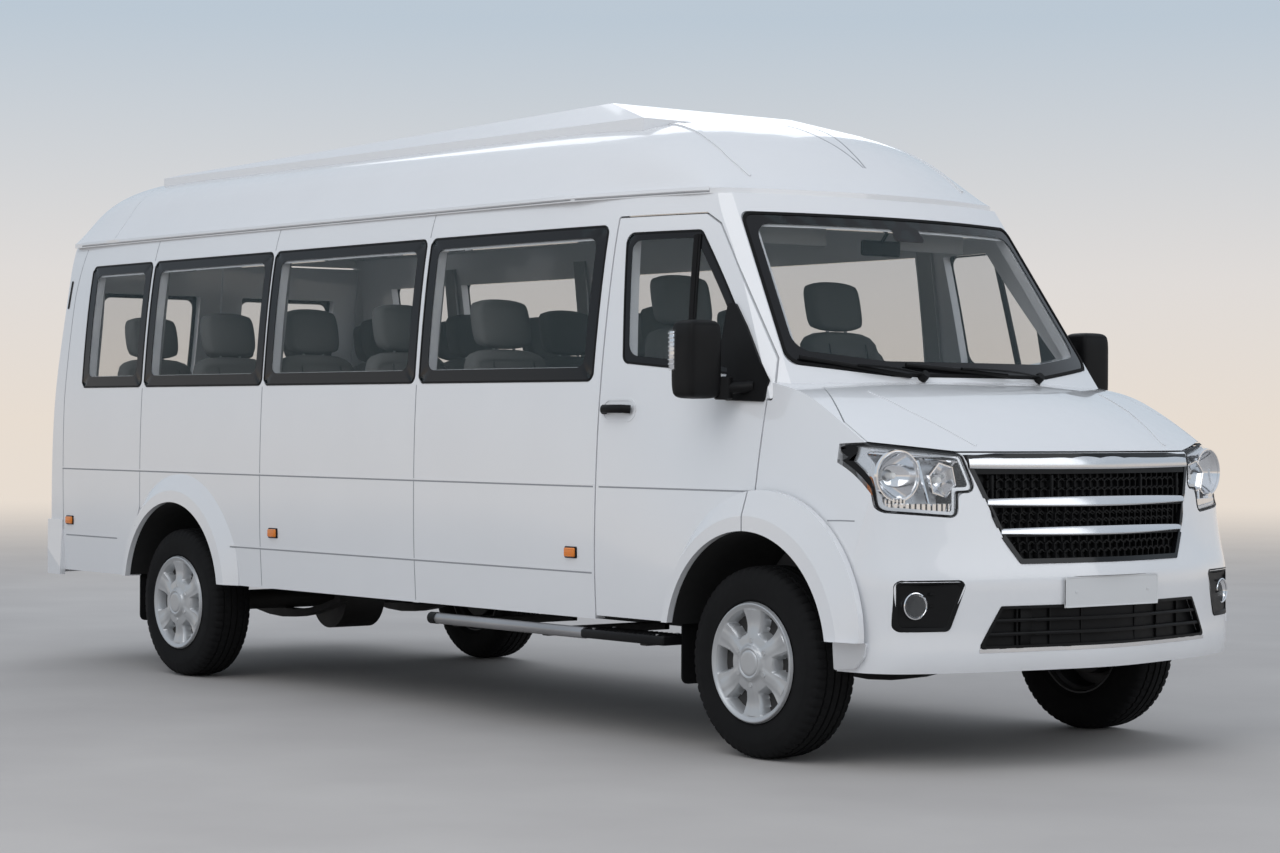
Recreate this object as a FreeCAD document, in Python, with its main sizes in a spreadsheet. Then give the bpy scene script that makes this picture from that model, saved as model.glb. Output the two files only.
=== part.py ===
import FreeCAD, Part
import math
import os
import re
import Sketcher

from FreeCAD import Placement, Rotation, Vector

# Minibus with a high roof, built on a ladder frame.
# +X is forward, +Y is the left side, +Z is up. The origin lies on the ground,
# in the middle of the overall length and width.

SIZES = {
    # wheels and axles
    "wheelbase": 4395,
    "front_axle_x": 2485,
    "half_track": 909,
    "tyre_radius": 371,
    "tyre_width": 225,
    "rim_radius": 205,
    "rim_wall": 12,
    "rim_flange": 14,
    "rim_half": 92,
    "cover_radius": 233,
    "cover_face": 104,
    "cover_thick": 7,
    "cover_dish": 12,
    "cover_hub_radius": 62,
    "window_inner": 100,
    "window_outer": 181,
    "window_inner_half": 22,
    "window_outer_half": 42,
    "disc_offset": 26,
    "hub_radius": 60,
    "hub_length": 50,
    "spindle_radius": 30,
    "spindle_gap": 0.3,
    "spindle_end": 60,
    "kingpin_offset": 79,
    "kingpin_half": 110,
    "collar_radius": 45,
    "collar_gap": 5,
    "axle_boss_radius": 38,
    "axle_boss_half": 35,
    "knuckle_plate": 30,
    "knuckle_half": 60,
    "beam_size": 70,
    "axle_tube_radius": 50,
    "drum_radius": 140,
    "drum_width": 70,
    "diff_radius": 165,
    "diff_width": 240,
    # side surface: height and half width of each level
    "ground_gap": 340,
    "sill_z": 485,
    "sill_half": 1024,
    "low_crease_z": 672,
    "low_crease_half": 1040,
    "crease_z": 1026,
    "crease_half": 1043,
    "belt_z": 1455,
    "belt_half": 1036,
    "window_top_z": 2106,
    "window_top_half": 972,
    "gutter_z": 2236,
    "gutter_half": 926,
    "nose_low_inset": 90,
    "nose_high_inset": 180,
    # rear face
    "rear_x": 3400,
    "rear_top_x": 3257,
    "rear_corner": 130,
    "bumper_proud": 30,
    # front end
    "nose_x": 3425,
    "nose_corner": 550,
    "bonnet_top_x": 2620,
    "bonnet_top_z": 1474,
    "bonnet_front_x": 3300,
    "bonnet_front_z": 1186,
    "bonnet_crown_rear": 55,
    "bonnet_crown_front": 172,
    "nose_rake": 100,
    "bonnet_rear_x": 2766,
    "bonnet_corner_x": 2650,
    "bonnet_corner_y": 800,
    "bonnet_shoulder_x": 2905,
    "bonnet_shoulder_y": 930,
    "scuttle_rear_x": 2570,
    "front_end_x": 2477,
    # windscreen
    "screen_foot_x": 2694,
    "screen_foot_z": 1473,
    "screen_slope": 0.70,
    "screen_bow": 250,
    "screen_top_z": 2138,
    "screen_top_half": 758,
    "screen_foot_half": 855,
    "screen_corner_z": 1520,
    "pillar_top_half": 811,
    "pillar_round": 45,
    # walls, gaps and glass
    "wall": 50,
    "skin_wall": 30,
    "glass": 6,
    "glass_seat": 7,
    "glass_edge": 1,
    "door_gap": 8,
    "panel_gap": 6,
    "rear_seam": 10,
    "seam": 3,
    "overrun": 300,
    # roof
    "roof_wall": 40,
    "roof_band": 22,
    "roof_top_z": 2622,
    "roof_front_x": 2185,
    "roof_rear_x": 3262,
    "roof_lip": 10,
    "roof_front_bow": 950,
    "roof_rear_bow": 80,
    "roof_seam_x": 2750,
    "pod_front_x": 974,
    "pod_nose_x": 1340,
    "pod_rear_x": 2744,
    "pod_half": 640,
    "pod_top_half": 520,
    "pod_top_z": 2680,
    "pod_rear_z": 2592,
    "pod_foot_z": 2480,
    # windows: rear and front edge of each, from the rearmost forward
    "pane_low_z": 1456,
    "pane_high_z": 2106,
    "pane_border": 62,
    "pane_radius": 40,
    "pane_one_rear": -2940,
    "pane_one_front": -2278,
    "pane_two_rear": -2258,
    "pane_two_front": -1094,
    "pane_three_rear": -1082,
    "pane_three_front": 207,
    "pane_four_rear": 234,
    "pane_four_front": 1476,
    # front door
    "door_rear_x": 1528,
    "door_front_x": 2471,
    "door_low_z": 500,
    "door_nose_x": 2500,
    "door_nose_z": 1385,
    "pillar_foot_x": 2456,
    "pillar_foot_z": 1540,
    "pillar_top_x": 2013,
    "door_high_z": 2130,
    "door_pane_rear_low": 1645,
    "door_pane_rear_high": 1580,
    "door_pane_low_z": 1530,
    "door_pane_front_x": 2440,
    "door_pane_front_z": 1462,
    "door_pane_top_x": 1965,
    "door_pane_high_z": 2068,
    "door_border": 30,
    # rear doors
    "rear_door_half": 872,
    "rear_door_low_z": 782,
    "rear_door_high_z": 2165,
    "rear_pane_low_z": 1420,
    "rear_pane_high_z": 2010,
    "rear_pane_edge": 105,
    # hinge leaves between the doors or the bonnet and the body
    "leaf_half": 40,
    "leaf_inset": 12,
    "leaf_root": 5,
    "door_leaf_low_z": 950,
    "door_leaf_high_z": 1290,
    "rear_leaf_low_z": 1000,
    "rear_leaf_mid_z": 1450,
    "rear_leaf_high_z": 1950,
    "bonnet_leaf_y": 450,
    # wheel arches
    "arch_radius": 466,
    "flare_radius": 546,
    "flare_edge_radius": 512,
    "flare_proud": 24,
    "flare_sink": 7,
    "flare_shift": 70,
    "flare_rise": 118,
    "flare_edge_shift": 14,
    "flare_edge_rise": 52,
    "arch_rise": 40,
    "house_wall": 12,
    "house_gap": 8,
    "house_inner_y": 575,
    "house_outer_y": 950,
    # bumpers and lamps
    "bumper_top_z": 930,
    "bumper_rear_x": 2950,
    "bumper_low_z": 372,
    "rear_bumper_low_z": 458,
    "rear_bumper_high_z": 752,
    "rear_bumper_front_x": 3135,
    "grille_top_z": 1176,
    "grille_top_half": 630,
    "grille_low_z": 776,
    "grille_low_half": 437,
    "grille_waist_z": 870,
    "grille_waist_half": 500,
    "grille_depth": 70,
    "grille_recess": 28,
    "grille_bar": 30,
    "grille_bar_top": 72,
    "intake_top_z": 612,
    "intake_top_half": 535,
    "intake_low_z": 462,
    "intake_low_half": 628,
    "intake_bar": 12,
    "lamp_outer_y": 970,
    "lamp_outer_top_z": 1222,
    "lamp_inner_top_y": 636,
    "lamp_inner_top_z": 1183,
    "lamp_corner_y": 595,
    "lamp_corner_z": 1039,
    "lamp_notch_y": 668,
    "lamp_notch_z": 1036,
    "lamp_inner_low_y": 677,
    "lamp_inner_low_z": 944,
    "lamp_outer_low_y": 955,
    "lamp_outer_low_z": 966,
    "lamp_depth": 120,
    "lamp_gap": 3,
    "fog_inner_y": 681,
    "fog_outer_y": 930,
    "fog_low_z": 536,
    "fog_top_z": 708,
    "fog_slant": 69,
    "fog_recess": 22,
    "fog_radius": 45,
    "plate_width": 520,
    "plate_height": 115,
    "plate_thick": 6,
    "plate_x": 3396,
    "plate_z": 660,
    "tail_low_z": 850,
    "tail_high_z": 1458,
    "tail_front_x": 3290,
    "tail_inner_y": 905,
    "marker_length": 64,
    "marker_height": 38,
    "marker_proud": 8,
    "marker_z": 752,
    "marker_one_x": 1368,
    "marker_two_x": -968,
    "marker_three_x": -3048,
    # chassis
    "rail_half": 400,
    "rail_width": 60,
    "rail_low_z": 470,
    "rail_high_z": 600,
    "rail_front_x": 3180,
    "rail_rear_x": 3210,
    "cross_length": 80,
    "cross_half": 967.7,
    "short_cross_half": 560,
    "floor_low_z": 660,
    "floor_high_z": 700,
    "floor_rear_x": 3200,
    "floor_half": 968,
    "bulkhead_x": 2400,
    "bulkhead_top_z": 1330,
    "bulkhead_half": 885,
    "tow_radius": 14,
    "tow_depth": 60,
    "tow_x": 3240,
    "tow_boss": 40,
    "hitch_hole_radius": 7,
    "hitch_spacing_y": 500,
    "hitch_spacing_z": 60,
    "hitch_plate": 12,
    "pad_x": 1350,
    "pad_length": 100,
    "pad_thick": 12,
    "spring_half": 520,
    "spring_rise": 105,
    "spring_thick": 46,
    "spring_width": 65,
    "spring_drop": 45,
    "eye_radius": 26,
    "shaft_radius": 38,
    "pipe_radius": 26,
    "pipe_y": 270,
    "silencer_radius": 62,
    "silencer_x": -300,
    "silencer_length": 620,
    "tank_x": 200,
    "tank_length": 900,
    "tank_outer_y": 850,
    "tank_low_z": 350,
    "tank_high_z": 580,
    "engine_front_x": 3040,
    "engine_rear_x": 2500,
    "engine_half": 300,
    "engine_low_z": 430,
    "engine_high_z": 1040,
    "gearbox_rear_x": 1800,
    "gearbox_half": 125,
    "gearbox_low_z": 420,
    "gearbox_high_z": 590,
    # side step and mud flaps
    "step_y": 1040,
    "step_z": 425,
    "step_radius": 22,
    "step_rear_x": 366,
    "step_mid_x": 1471,
    "step_front_x": 2000,
    "step_board": 150,
    "step_thick": 30,
    "step_bracket": 40,
    "flap_thick": 8,
    "flap_behind": 476,
    "flap_inner_y": 780,
    "flap_outer_y": 968,
    "flap_low_z": 250,
    # cab and cabin
    "dash_half": 850,
    "dash_front_x": 2468,
    "dash_rear_x": 2140,
    "dash_low_z": 960,
    "dash_high_z": 1395,
    "wheel_ring": 200,
    "wheel_ring_tube": 16,
    "wheel_ring_x": 2010,
    "wheel_ring_y": 420,
    "wheel_ring_z": 1330,
    "wheel_ring_tilt": 35,
    "column_radius": 28,
    "column_length": 165,
    "wheel_hub_radius": 70,
    "wheel_hub_thick": 50,
    "seat_width": 440,
    "seat_depth": 460,
    "seat_thick": 130,
    "seat_high_z": 1150,
    "back_thick": 120,
    "back_lean": 12,
    "back_height": 520,
    "rest_height": 150,
    "rest_width": 270,
    "rest_thick": 90,
    "rest_gap": 25,
    "leg_width": 300,
    "leg_depth": 320,
    "leg_clear": 10,
    "cab_seat_x": 1560,
    "cab_seat_y": 440,
    "row_first_x": 620,
    "row_pitch": 790,
    "seat_outer_y": 720,
    "seat_inner_y": 250,
    # mirrors and wipers
    "mirror_inner_y": 1040,
    "mirror_outer_y": 1185,
    "mirror_rear_x": 2190,
    "mirror_front_x": 2320,
    "mirror_low_z": 1387,
    "mirror_high_z": 1684,
    "mirror_radius": 35,
    "mirror_arm": 60,
    "arm_low_z": 1432,
    "arm_reach": 110,
    "base_rear_x": 2281,
    "base_mid_x": 2424,
    "base_front_x": 2466,
    "base_low_z": 1372,
    "base_mid_z": 1450,
    "base_high_z": 1530,
    "base_proud": 8,
    "wiper_length": 560,
    "wiper_size": 14,
    "wiper_gap": 4,
}

doc = FreeCAD.newDocument("minibus")
sheet = doc.addObject("Spreadsheet::Sheet", "dims")
for row, (alias, size) in enumerate(SIZES.items(), start=1):
    sheet.set(f"A{row}", alias)
    sheet.set(f"B{row}", str(size))
    sheet.setAlias(f"B{row}", alias)
doc.recompute()


class Sheet:
    """Reads a driving dimension back from the sheet by its name."""

    def __getattr__(self, alias):
        return float(sheet.get(alias))


d = Sheet()
WORD = re.compile(r"[a-z][a-z_]+")
nodes = {}


def bound(text):
    """The same formula with each driving dimension referred to in the sheet."""
    return WORD.sub(lambda found: f"dims.{found[0]}" if found[0] in SIZES else found[0], text)


def bind(obj, **formulas):
    """Bind properties to formulas in driving dimensions."""
    for prop, text in formulas.items():
        obj.setExpression(prop, bound(text))
    return obj


def place(obj, x="0", y="0", z="0"):
    """Bind the place of an object to formulas."""
    for axis, text in zip("xyz", (x, y, z)):
        obj.setExpression(f"Placement.Base.{axis}", bound(text))
    return obj


def turn(obj, axis, degrees):
    """Turn an object about an axis through its own origin."""
    obj.Placement.Rotation = Rotation(Vector(*axis), degrees)
    return obj


def node(label, obj):
    """Record an object as a sub-part that gets a file of its own."""
    obj.Label = label
    nodes[label] = obj
    return obj


def box(x, y, z, length, width, height):
    """A box from its low corner and its sizes, all formulas."""
    made = doc.addObject("Part::Box", "box")
    bind(made, Length=length, Width=width, Height=height)
    return place(made, x, y, z)


AXES = {"x": ((0, 1, 0), 90), "y": ((1, 0, 0), -90), "z": ((0, 0, 1), 0)}


def rod(direction, x, y, z, radius, length):
    """A cylinder that starts at a point and runs along +X, +Y or +Z."""
    made = doc.addObject("Part::Cylinder", "rod")
    bind(made, Radius=radius, Height=length)
    turn(made, *AXES[direction])
    return place(made, x, y, z)


def fuse(*parts):
    """One object out of parts that overlap or touch."""
    made = doc.addObject("Part::MultiFuse", "joined")
    made.Shapes = list(parts)
    made.Refine = True
    return made


def cut(base, *tools):
    """The base with the tools taken out."""
    made = doc.addObject("Part::Cut", "cut")
    made.Base = base
    made.Tool = tools[0] if len(tools) == 1 else fuse(*tools)
    made.Refine = True
    return made


def group(*parts):
    """Pieces that don't touch, kept together in one node."""
    made = doc.addObject("Part::Compound", "group")
    made.Links = list(parts)
    return made


def mirrored(obj):
    """The same piece on the other side of the vehicle."""
    made = doc.addObject("Part::Mirroring", "mirrored")
    made.Source = obj
    made.Normal = (0, 1, 0)
    return made


def feature(shape):
    """An object that holds a shape worked out from the sheet."""
    made = doc.addObject("Part::Feature", "panel")
    made.Shape = shape
    return made


def body():
    """A new body with its origin planes."""
    return doc.addObject("PartDesign::Body", "body")


def origin_plane(owner, role):
    return next(plane for plane in owner.Origin.OriginFeatures if plane.Role == role)


def sketch(owner, role, points):
    """A closed polygon on an origin plane, each corner bound to two formulas."""
    made = owner.newObject("Sketcher::SketchObject", "sketch")
    made.AttachmentSupport = (origin_plane(owner, role), [""])
    made.MapMode = "FlatFace"
    corners = [Vector(*(sheet.evalExpression(bound(text)) for text in point), 0) for point in points]
    corners = [Vector(*(float(value) for value in corner)) for corner in corners]
    for place_in, corner in enumerate(corners):
        made.addGeometry(Part.LineSegment(corner, corners[(place_in + 1) % len(corners)]))
    for place_in in range(len(corners)):
        made.addConstraint(Sketcher.Constraint("Coincident", place_in, 2, (place_in + 1) % len(corners), 1))
    for place_in, (point, corner) in enumerate(zip(points, corners)):
        for kind, text, value in zip(("DistanceX", "DistanceY"), point, corner):
            number = made.addConstraint(Sketcher.Constraint(kind, -1, 1, place_in, 1, value))
            made.setExpression(f"Constraints[{number}]", bound(text))
    return made


def padded_outline(role, points, length):
    """A body padded both ways from an outline on an origin plane."""
    owner = body()
    outline = sketch(owner, role, points)
    pad = owner.newObject("PartDesign::Pad", "pad")
    pad.Profile = outline
    pad.Midplane = True
    bind(pad, Length=length)
    return owner


def turned_outline(points):
    """A body turned about the Y axis from (radius, y) points."""
    owner = body()
    add_turned(owner, points)
    return owner


def add_turned(owner, points):
    outline = sketch(owner, "XY_Plane", points)
    revolution = owner.newObject("PartDesign::Revolution", "revolution")
    revolution.Profile = outline
    revolution.ReferenceAxis = (outline, ["V_Axis"])
    revolution.Angle = 360
    return revolution


# Outlines and surfaces

def rounded_wire(points, radius):
    """A closed flat wire through the points, its corners rounded by tangent arcs."""
    edges = []
    ends = []
    count = len(points)
    for number, corner in enumerate(points):
        before = (points[number - 1] - corner)
        after = (points[(number + 1) % count] - corner)
        half = before.getAngle(after) / 2
        reach = min(radius / math.tan(half), before.Length / 2.1, after.Length / 2.1)
        start = corner + before.normalize() * reach
        stop = corner + after.normalize() * reach
        middle_way = (before + after).normalize()
        true_radius = reach * math.tan(half)
        middle = corner + middle_way * (reach / math.cos(half) - true_radius)
        edges.append(Part.Arc(start, middle, stop).toShape())
        ends.append((start, stop))
    for number in range(count):
        start = ends[number][1]
        stop = ends[(number + 1) % count][0]
        if (stop - start).Length > d.spindle_gap:
            edges.append(Part.LineSegment(start, stop).toShape())
    return Part.Wire(Part.__sortEdges__(edges))


def sharp_wire(points):
    return Part.makePolygon(points + points[:1])


SPREAD = {"x": Vector(1, 0, 0), "y": Vector(0, 1, 0), "z": Vector(0, 0, 1)}


def lifted(axis, pair, level):
    """A point on the plane across an axis at a level."""
    first, second = pair
    if axis == "x":
        return Vector(level, first, second)
    if axis == "y":
        return Vector(first, level, second)
    return Vector(first, second, level)


def prism(axis, pairs, low, high, radius=0, grow=0):
    """An outline spread along an axis between two levels, grown or shrunk on request."""
    points = [lifted(axis, pair, low) for pair in pairs]
    wire = rounded_wire(points, radius) if radius else sharp_wire(points)
    if grow:
        wire = wire.makeOffset2D(grow)
    return Part.Face(wire).extrude(SPREAD[axis] * (high - low))


def block(low, high):
    """A plain block between two corners."""
    size = high - low
    return Part.makeBox(size.x, size.y, size.z, low)


DEGREE = 3


def clamped_knots(count):
    """Knots and multiplicities of a curve that starts and ends on its end points."""
    knots = list(range(count - DEGREE + 1))
    multiplicities = [DEGREE + 1] + [1] * (len(knots) - 2) + [DEGREE + 1]
    return multiplicities, knots


def skin(rows):
    """A smooth surface drawn towards rows of points, without waves between them."""
    along, along_knots = clamped_knots(len(rows))
    across, across_knots = clamped_knots(len(rows[0]))
    surface = Part.BSplineSurface()
    surface.buildFromPolesMultsKnots(rows, along, across, along_knots, across_knots,
                                     False, False, DEGREE, DEGREE)
    return surface.toShape()


def moved(shape, x=0, y=0, z=0):
    made = shape.copy()
    made.translate(Vector(x, y, z))
    return made


def both_sides(points):
    """An outline given for the left half, completed with its mirror image."""
    return points + [(-y, z) for y, z in reversed(points)]


# Side surface: levels from the sill up, and how far the nose draws it in at each station
SIDE_LEVELS = (
    (d.ground_gap - d.wall, d.sill_half - d.panel_gap, 0),
    (d.sill_z, d.sill_half, 0),
    (d.low_crease_z, d.low_crease_half, 0),
    (d.crease_z, d.crease_half, 0.2),
    (d.belt_z, d.belt_half, 0.5),
    (d.window_top_z, d.window_top_half, 1),
    (d.gutter_z, d.gutter_half, 1),
    (d.gutter_z + d.overrun, d.gutter_half * 0.85, 1),
)
# station along the length, then the shares of the low and high nose insets
SIDE_STATION_SHARES = (
    (-1.10, 0.50, 0.30),
    (-0.95, 0.15, 0.08),
    (-0.80, 0.00, 0.00),
    (-0.30, 0.00, 0.00),
    (0.20, 0.00, 0.00),
    (0.42, 0.00, 0.12),
    (0.52, 0.00, 0.46),
    (0.60, 0.00, 0.92),
    (0.68, 0.00, 1.14),
    (0.76, 0.00, 1.20),
    (0.85, 0.08, 1.18),
    (0.92, 0.45, 1.44),
    (1.00, 1.30, 1.90),
    (1.10, 2.60, 2.60),
)


def side_face():
    rows = []
    for station, low, high in SIDE_STATION_SHARES:
        row = []
        for level, half, share in SIDE_LEVELS:
            drawn_in = low * d.nose_low_inset * (1 - share) + high * d.nose_high_inset * share
            row.append(Vector(station * d.nose_x, drawn_in - half, level))
        rows.append(row)
    return skin(rows)


# Rear surface: share of the way up to the gutter, share of the lean forward
REAR_LEVEL_SHARES = ((0.00, 0.00), (0.20, 0.00), (0.40, 0.02), (0.60, 0.22), (0.82, 0.88), (1.00, 1.00), (1.20, 1.05))
REAR_WIDTH_SHARES = (0, 0.4, 0.7, 0.85, 0.93, 1.0, 1.15)
CORNER_POWER = 8


def rear_face():
    widths = [-share for share in reversed(REAR_WIDTH_SHARES[1:])] + list(REAR_WIDTH_SHARES)
    rows = []
    for up, lean in REAR_LEVEL_SHARES:
        level = d.ground_gap + up * (d.gutter_z - d.ground_gap)
        rear = d.rear_x - lean * (d.rear_x - d.rear_top_x)
        row = [Vector(d.rear_corner * abs(share) ** CORNER_POWER - rear, share * d.crease_half, level)
               for share in widths]
        rows.append(row)
    return skin(rows)


# Nose surface: height as a share of the bonnet's front edge, set back as a share of the rake
NOSE_LEVEL_SHARES = (
    (0.250, 0.45),
    (0.310, 0.12),
    (0.350, 0.00),
    (0.385, 0.00),
    (0.430, 0.05),
    (0.506, 0.05),
    (0.607, 0.00),
    (0.654, 0.22),
    (0.784, 0.55),
    (0.990, 0.78),
    (1.100, 1.40),
    (1.300, 3.20),
)
# place across as a share of the half width, set back as a share of the nose corner
NOSE_WIDTH_SHARES = (
    (0.000, 0.000),
    (0.140, 0.018),
    (0.288, 0.075),
    (0.480, 0.137),
    (0.600, 0.190),
    (0.720, 0.273),
    (0.860, 0.370),
    (0.925, 0.490),
    (0.960, 0.670),
    (1.000, 1.000),
    (1.100, 1.900),
)


def nose_face():
    widths = [(-share, back) for share, back in reversed(NOSE_WIDTH_SHARES[1:])] + list(NOSE_WIDTH_SHARES)
    rows = []
    for up, rake in NOSE_LEVEL_SHARES:
        row = [Vector(d.nose_x - rake * d.nose_rake - back * d.nose_corner, share * d.crease_half,
                      up * d.bonnet_front_z) for share, back in widths]
        rows.append(row)
    return skin(rows)


# Bonnet surface: way forward from its top, share of the fall, share of the crown's growth
BONNET_STATION_SHARES = (
    (-0.40, -0.12, 0.0),
    (0.00, 0.000, 0.0),
    (0.20, 0.085, 0.3),
    (0.50, 0.310, 0.8),
    (0.80, 0.690, 1.0),
    (1.00, 1.000, 1.0),
    (1.25, 1.500, 1.0),
)
BONNET_WIDTH_SHARES = (0, 0.25, 0.5, 0.75, 0.9, 1.0, 1.1)
CROWN_POWER = 2.2


def bonnet_face():
    widths = [-share for share in reversed(BONNET_WIDTH_SHARES[1:])] + list(BONNET_WIDTH_SHARES)
    rows = []
    for along, fall, growth in BONNET_STATION_SHARES:
        station = d.bonnet_top_x + along * (d.bonnet_front_x - d.bonnet_top_x)
        middle = d.bonnet_top_z - fall * (d.bonnet_top_z - d.bonnet_front_z)
        crown = d.bonnet_crown_rear + growth * (d.bonnet_crown_front - d.bonnet_crown_rear)
        row = [Vector(station, share * d.crease_half, middle - crown * abs(share) ** CROWN_POWER)
               for share in widths]
        rows.append(row)
    return skin(rows)


SCREEN_WIDTH_SHARES = (-1.1, -0.9, -0.7, -0.5, -0.25, 0, 0.25, 0.5, 0.7, 0.9, 1.1)


def screen_x(half, level):
    """How far forward the windscreen lies at a half width and a level."""
    share = half / d.crease_half
    return d.screen_foot_x - d.screen_slope * (level - d.screen_foot_z) - d.screen_bow * share ** 2


def screen_face():
    """The windscreen's bowed surface, carried down and up along its slope."""
    low = d.ground_gap
    high = d.gutter_z + d.overrun
    points = [Vector(screen_x(share * d.crease_half, low), share * d.crease_half, low)
              for share in SCREEN_WIDTH_SHARES]
    curve = Part.BSplineCurve()
    curve.interpolate(points)
    rise = high - low
    return curve.toShape().extrude(Vector(-d.screen_slope * rise, 0, rise))


RIGHT_SIDE = side_face()
REAR = rear_face()
NOSE = nose_face()
BONNET = bonnet_face()
SCREEN = screen_face()


def beyond_pillar(inset):
    """What lies outside the flat face of the right-hand windscreen pillar, moved in by an inset."""
    glass_top = Vector(screen_x(d.screen_top_half, d.screen_top_z), -d.screen_top_half, d.screen_top_z)
    glass_low = Vector(screen_x(d.screen_foot_half, d.screen_corner_z), -d.screen_foot_half, d.screen_corner_z)
    door_top = Vector(d.pillar_top_x + d.door_gap, -d.pillar_top_half, d.door_high_z)
    outward = (glass_top - glass_low).cross(door_top - glass_top).normalize()
    reach = 2 * d.nose_x
    outside = Part.makeBox(reach, reach, reach, Vector(-reach / 2, -reach / 2, 0))
    outside.Placement = Placement(glass_top + outward * (d.seam - inset), Rotation(Vector(0, 0, 1), outward))
    return outside


def cabin_volume(inset, low, high):
    """What lies inside the side, rear and windscreen surfaces, all drawn in by an inset."""
    length = 2 * d.nose_x
    width = 2 * d.crease_half
    right = moved(RIGHT_SIDE, y=inset).extrude(Vector(0, width, 0))
    left = right.mirror(Vector(0, 0, 0), Vector(0, 1, 0))
    rear = moved(REAR, x=inset).extrude(Vector(length, 0, 0))
    slant = inset * math.hypot(1, d.screen_slope)
    screen = moved(SCREEN, x=-slant).extrude(Vector(-length, 0, 0))
    volume = block(Vector(-d.nose_x - d.wall, -width, low), Vector(d.nose_x, width, high))
    for tool in (right, left, rear, screen):
        volume = volume.common(tool)
    beside_right = beyond_pillar(inset)
    beside_left = beside_right.mirror(Vector(0, 0, 0), Vector(0, 1, 0))
    return volume.cut(beside_right).cut(beside_left)


def front_volume(inset, low):
    """What lies inside the side, nose and bonnet surfaces ahead of the doors."""
    length = d.nose_x
    width = 2 * d.crease_half
    right = moved(RIGHT_SIDE, y=inset).extrude(Vector(0, width, 0))
    left = right.mirror(Vector(0, 0, 0), Vector(0, 1, 0))
    nose = moved(NOSE, x=-inset).extrude(Vector(-length, 0, 0))
    bonnet = moved(BONNET, z=-inset).extrude(Vector(0, 0, -2 * d.bonnet_top_z))
    volume = block(Vector(d.front_end_x, -width, low), Vector(d.nose_x + d.wall, width, 2 * d.bonnet_top_z))
    for tool in (right, left, nose, bonnet):
        volume = volume.common(tool)
    return volume


# Roof surface: rows from the rear edge to the front edge. Each has its place as a share
# of the rear or front reach, its rise as a share, and how much of the edge's bow it keeps.
ROOF_REAR_SHARES = (
    (1.000, 0.00, 1.00),
    (0.999, 0.30, 0.98),
    (0.992, 0.60, 0.72),
    (0.968, 0.84, 0.35),
    (0.915, 0.95, 0.12),
    (0.840, 0.99, 0.00),
    (0.700, 1.00, 0.00),
    (0.368, 1.00, 0.00),
)
ROOF_FRONT_SHARES = (
    (0.000, 1.00, 0.00),
    (0.316, 1.000, 0.10),
    (0.488, 0.985, 0.30),
    (0.632, 0.950, 0.50),
    (0.749, 0.875, 0.70),
    (0.840, 0.670, 0.85),
    (0.907, 0.430, 0.95),
    (0.957, 0.190, 1.00),
    (0.986, 0.050, 1.00),
    (1.000, 0.000, 1.00),
)
# place across as a share of the half width, height as a share of the rise, share of the front bow
ROOF_SECTION_SHARES = (
    (0.000, 1.000, 0.00),
    (0.324, 0.965, 0.03),
    (0.540, 0.900, 0.08),
    (0.700, 0.800, 0.13),
    (0.800, 0.650, 0.16),
    (0.870, 0.460, 0.24),
    (0.925, 0.250, 0.55),
    (0.980, 0.080, 0.88),
    (1.000, 0.000, 1.00),
)
REAR_BOW_POWER = 6


def roof_volume(inset):
    """The dome of the roof with its short upright edge, drawn in by an inset."""
    half = d.gutter_half + d.roof_lip - inset
    rise = d.roof_top_z - d.gutter_z - inset
    section = [(-share, up, back) for share, up, back in reversed(ROOF_SECTION_SHARES[1:])]
    section += list(ROOF_SECTION_SHARES)
    rows = []
    for along, lift, keep in ROOF_REAR_SHARES:
        rows.append([Vector(keep * d.roof_rear_bow * abs(share) ** REAR_BOW_POWER - along * (d.roof_rear_x - inset),
                            share * half, d.gutter_z + lift * up * rise) for share, up, _ in section])
    for along, lift, keep in ROOF_FRONT_SHARES:
        rows.append([Vector(along * (d.roof_front_x - inset) - keep * d.roof_front_bow * back,
                            share * half, d.gutter_z + lift * up * rise) for share, up, back in section])
    below = skin(rows).extrude(Vector(0, 0, d.gutter_z - d.roof_top_z - d.overrun))
    return below.common(block(Vector(-far, -far, d.gutter_z - d.roof_band), Vector(far, far, far)))


# Volumes that several panels are taken from
wall_low = d.sill_z
wall_high = d.gutter_z - d.roof_band
far = 2 * d.nose_x
cabin_tall = cabin_volume(0, d.ground_gap, wall_high)
cabin_outer = cabin_tall.common(block(Vector(-far, -far, wall_low), Vector(far, far, far)))
cabin_inner = cabin_volume(d.wall, wall_low - d.overrun, wall_high + d.overrun)
front_outer = front_volume(0, d.bumper_low_z)
front_inner = front_volume(d.skin_wall, d.bumper_low_z - d.overrun)


def wheel_cylinder(axle_x, radius, inner, outer):
    """A cylinder about the middle of a right-hand wheel arch between two half widths."""
    return Part.makeCylinder(radius, outer - inner, Vector(axle_x, -outer, d.tyre_radius + d.arch_rise),
                             Vector(0, 1, 0))


def flare(axle_x):
    """The raised lip round a right-hand wheel arch: a slope that ends in a flat rim."""
    inner = d.low_crease_half - d.skin_wall
    foot = d.crease_half - d.flare_sink
    outer = d.crease_half + d.flare_proud
    rings = []
    for half, ahead, rise, radius in (
        (inner, d.flare_shift, d.flare_rise, d.flare_radius),
        (foot, d.flare_shift, d.flare_rise, d.flare_radius),
        (outer, d.flare_edge_shift, d.flare_edge_rise, d.flare_edge_radius),
    ):
        centre = Vector(axle_x + ahead, -half, d.tyre_radius + rise)
        rings.append(Part.Wire([Part.makeCircle(radius, centre, Vector(0, 1, 0))]))
    lip = Part.makeLoft(rings, True, True)
    above = block(Vector(axle_x - far, -outer, d.sill_z), Vector(axle_x + far, -inner, far))
    return lip.common(above)


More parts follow.
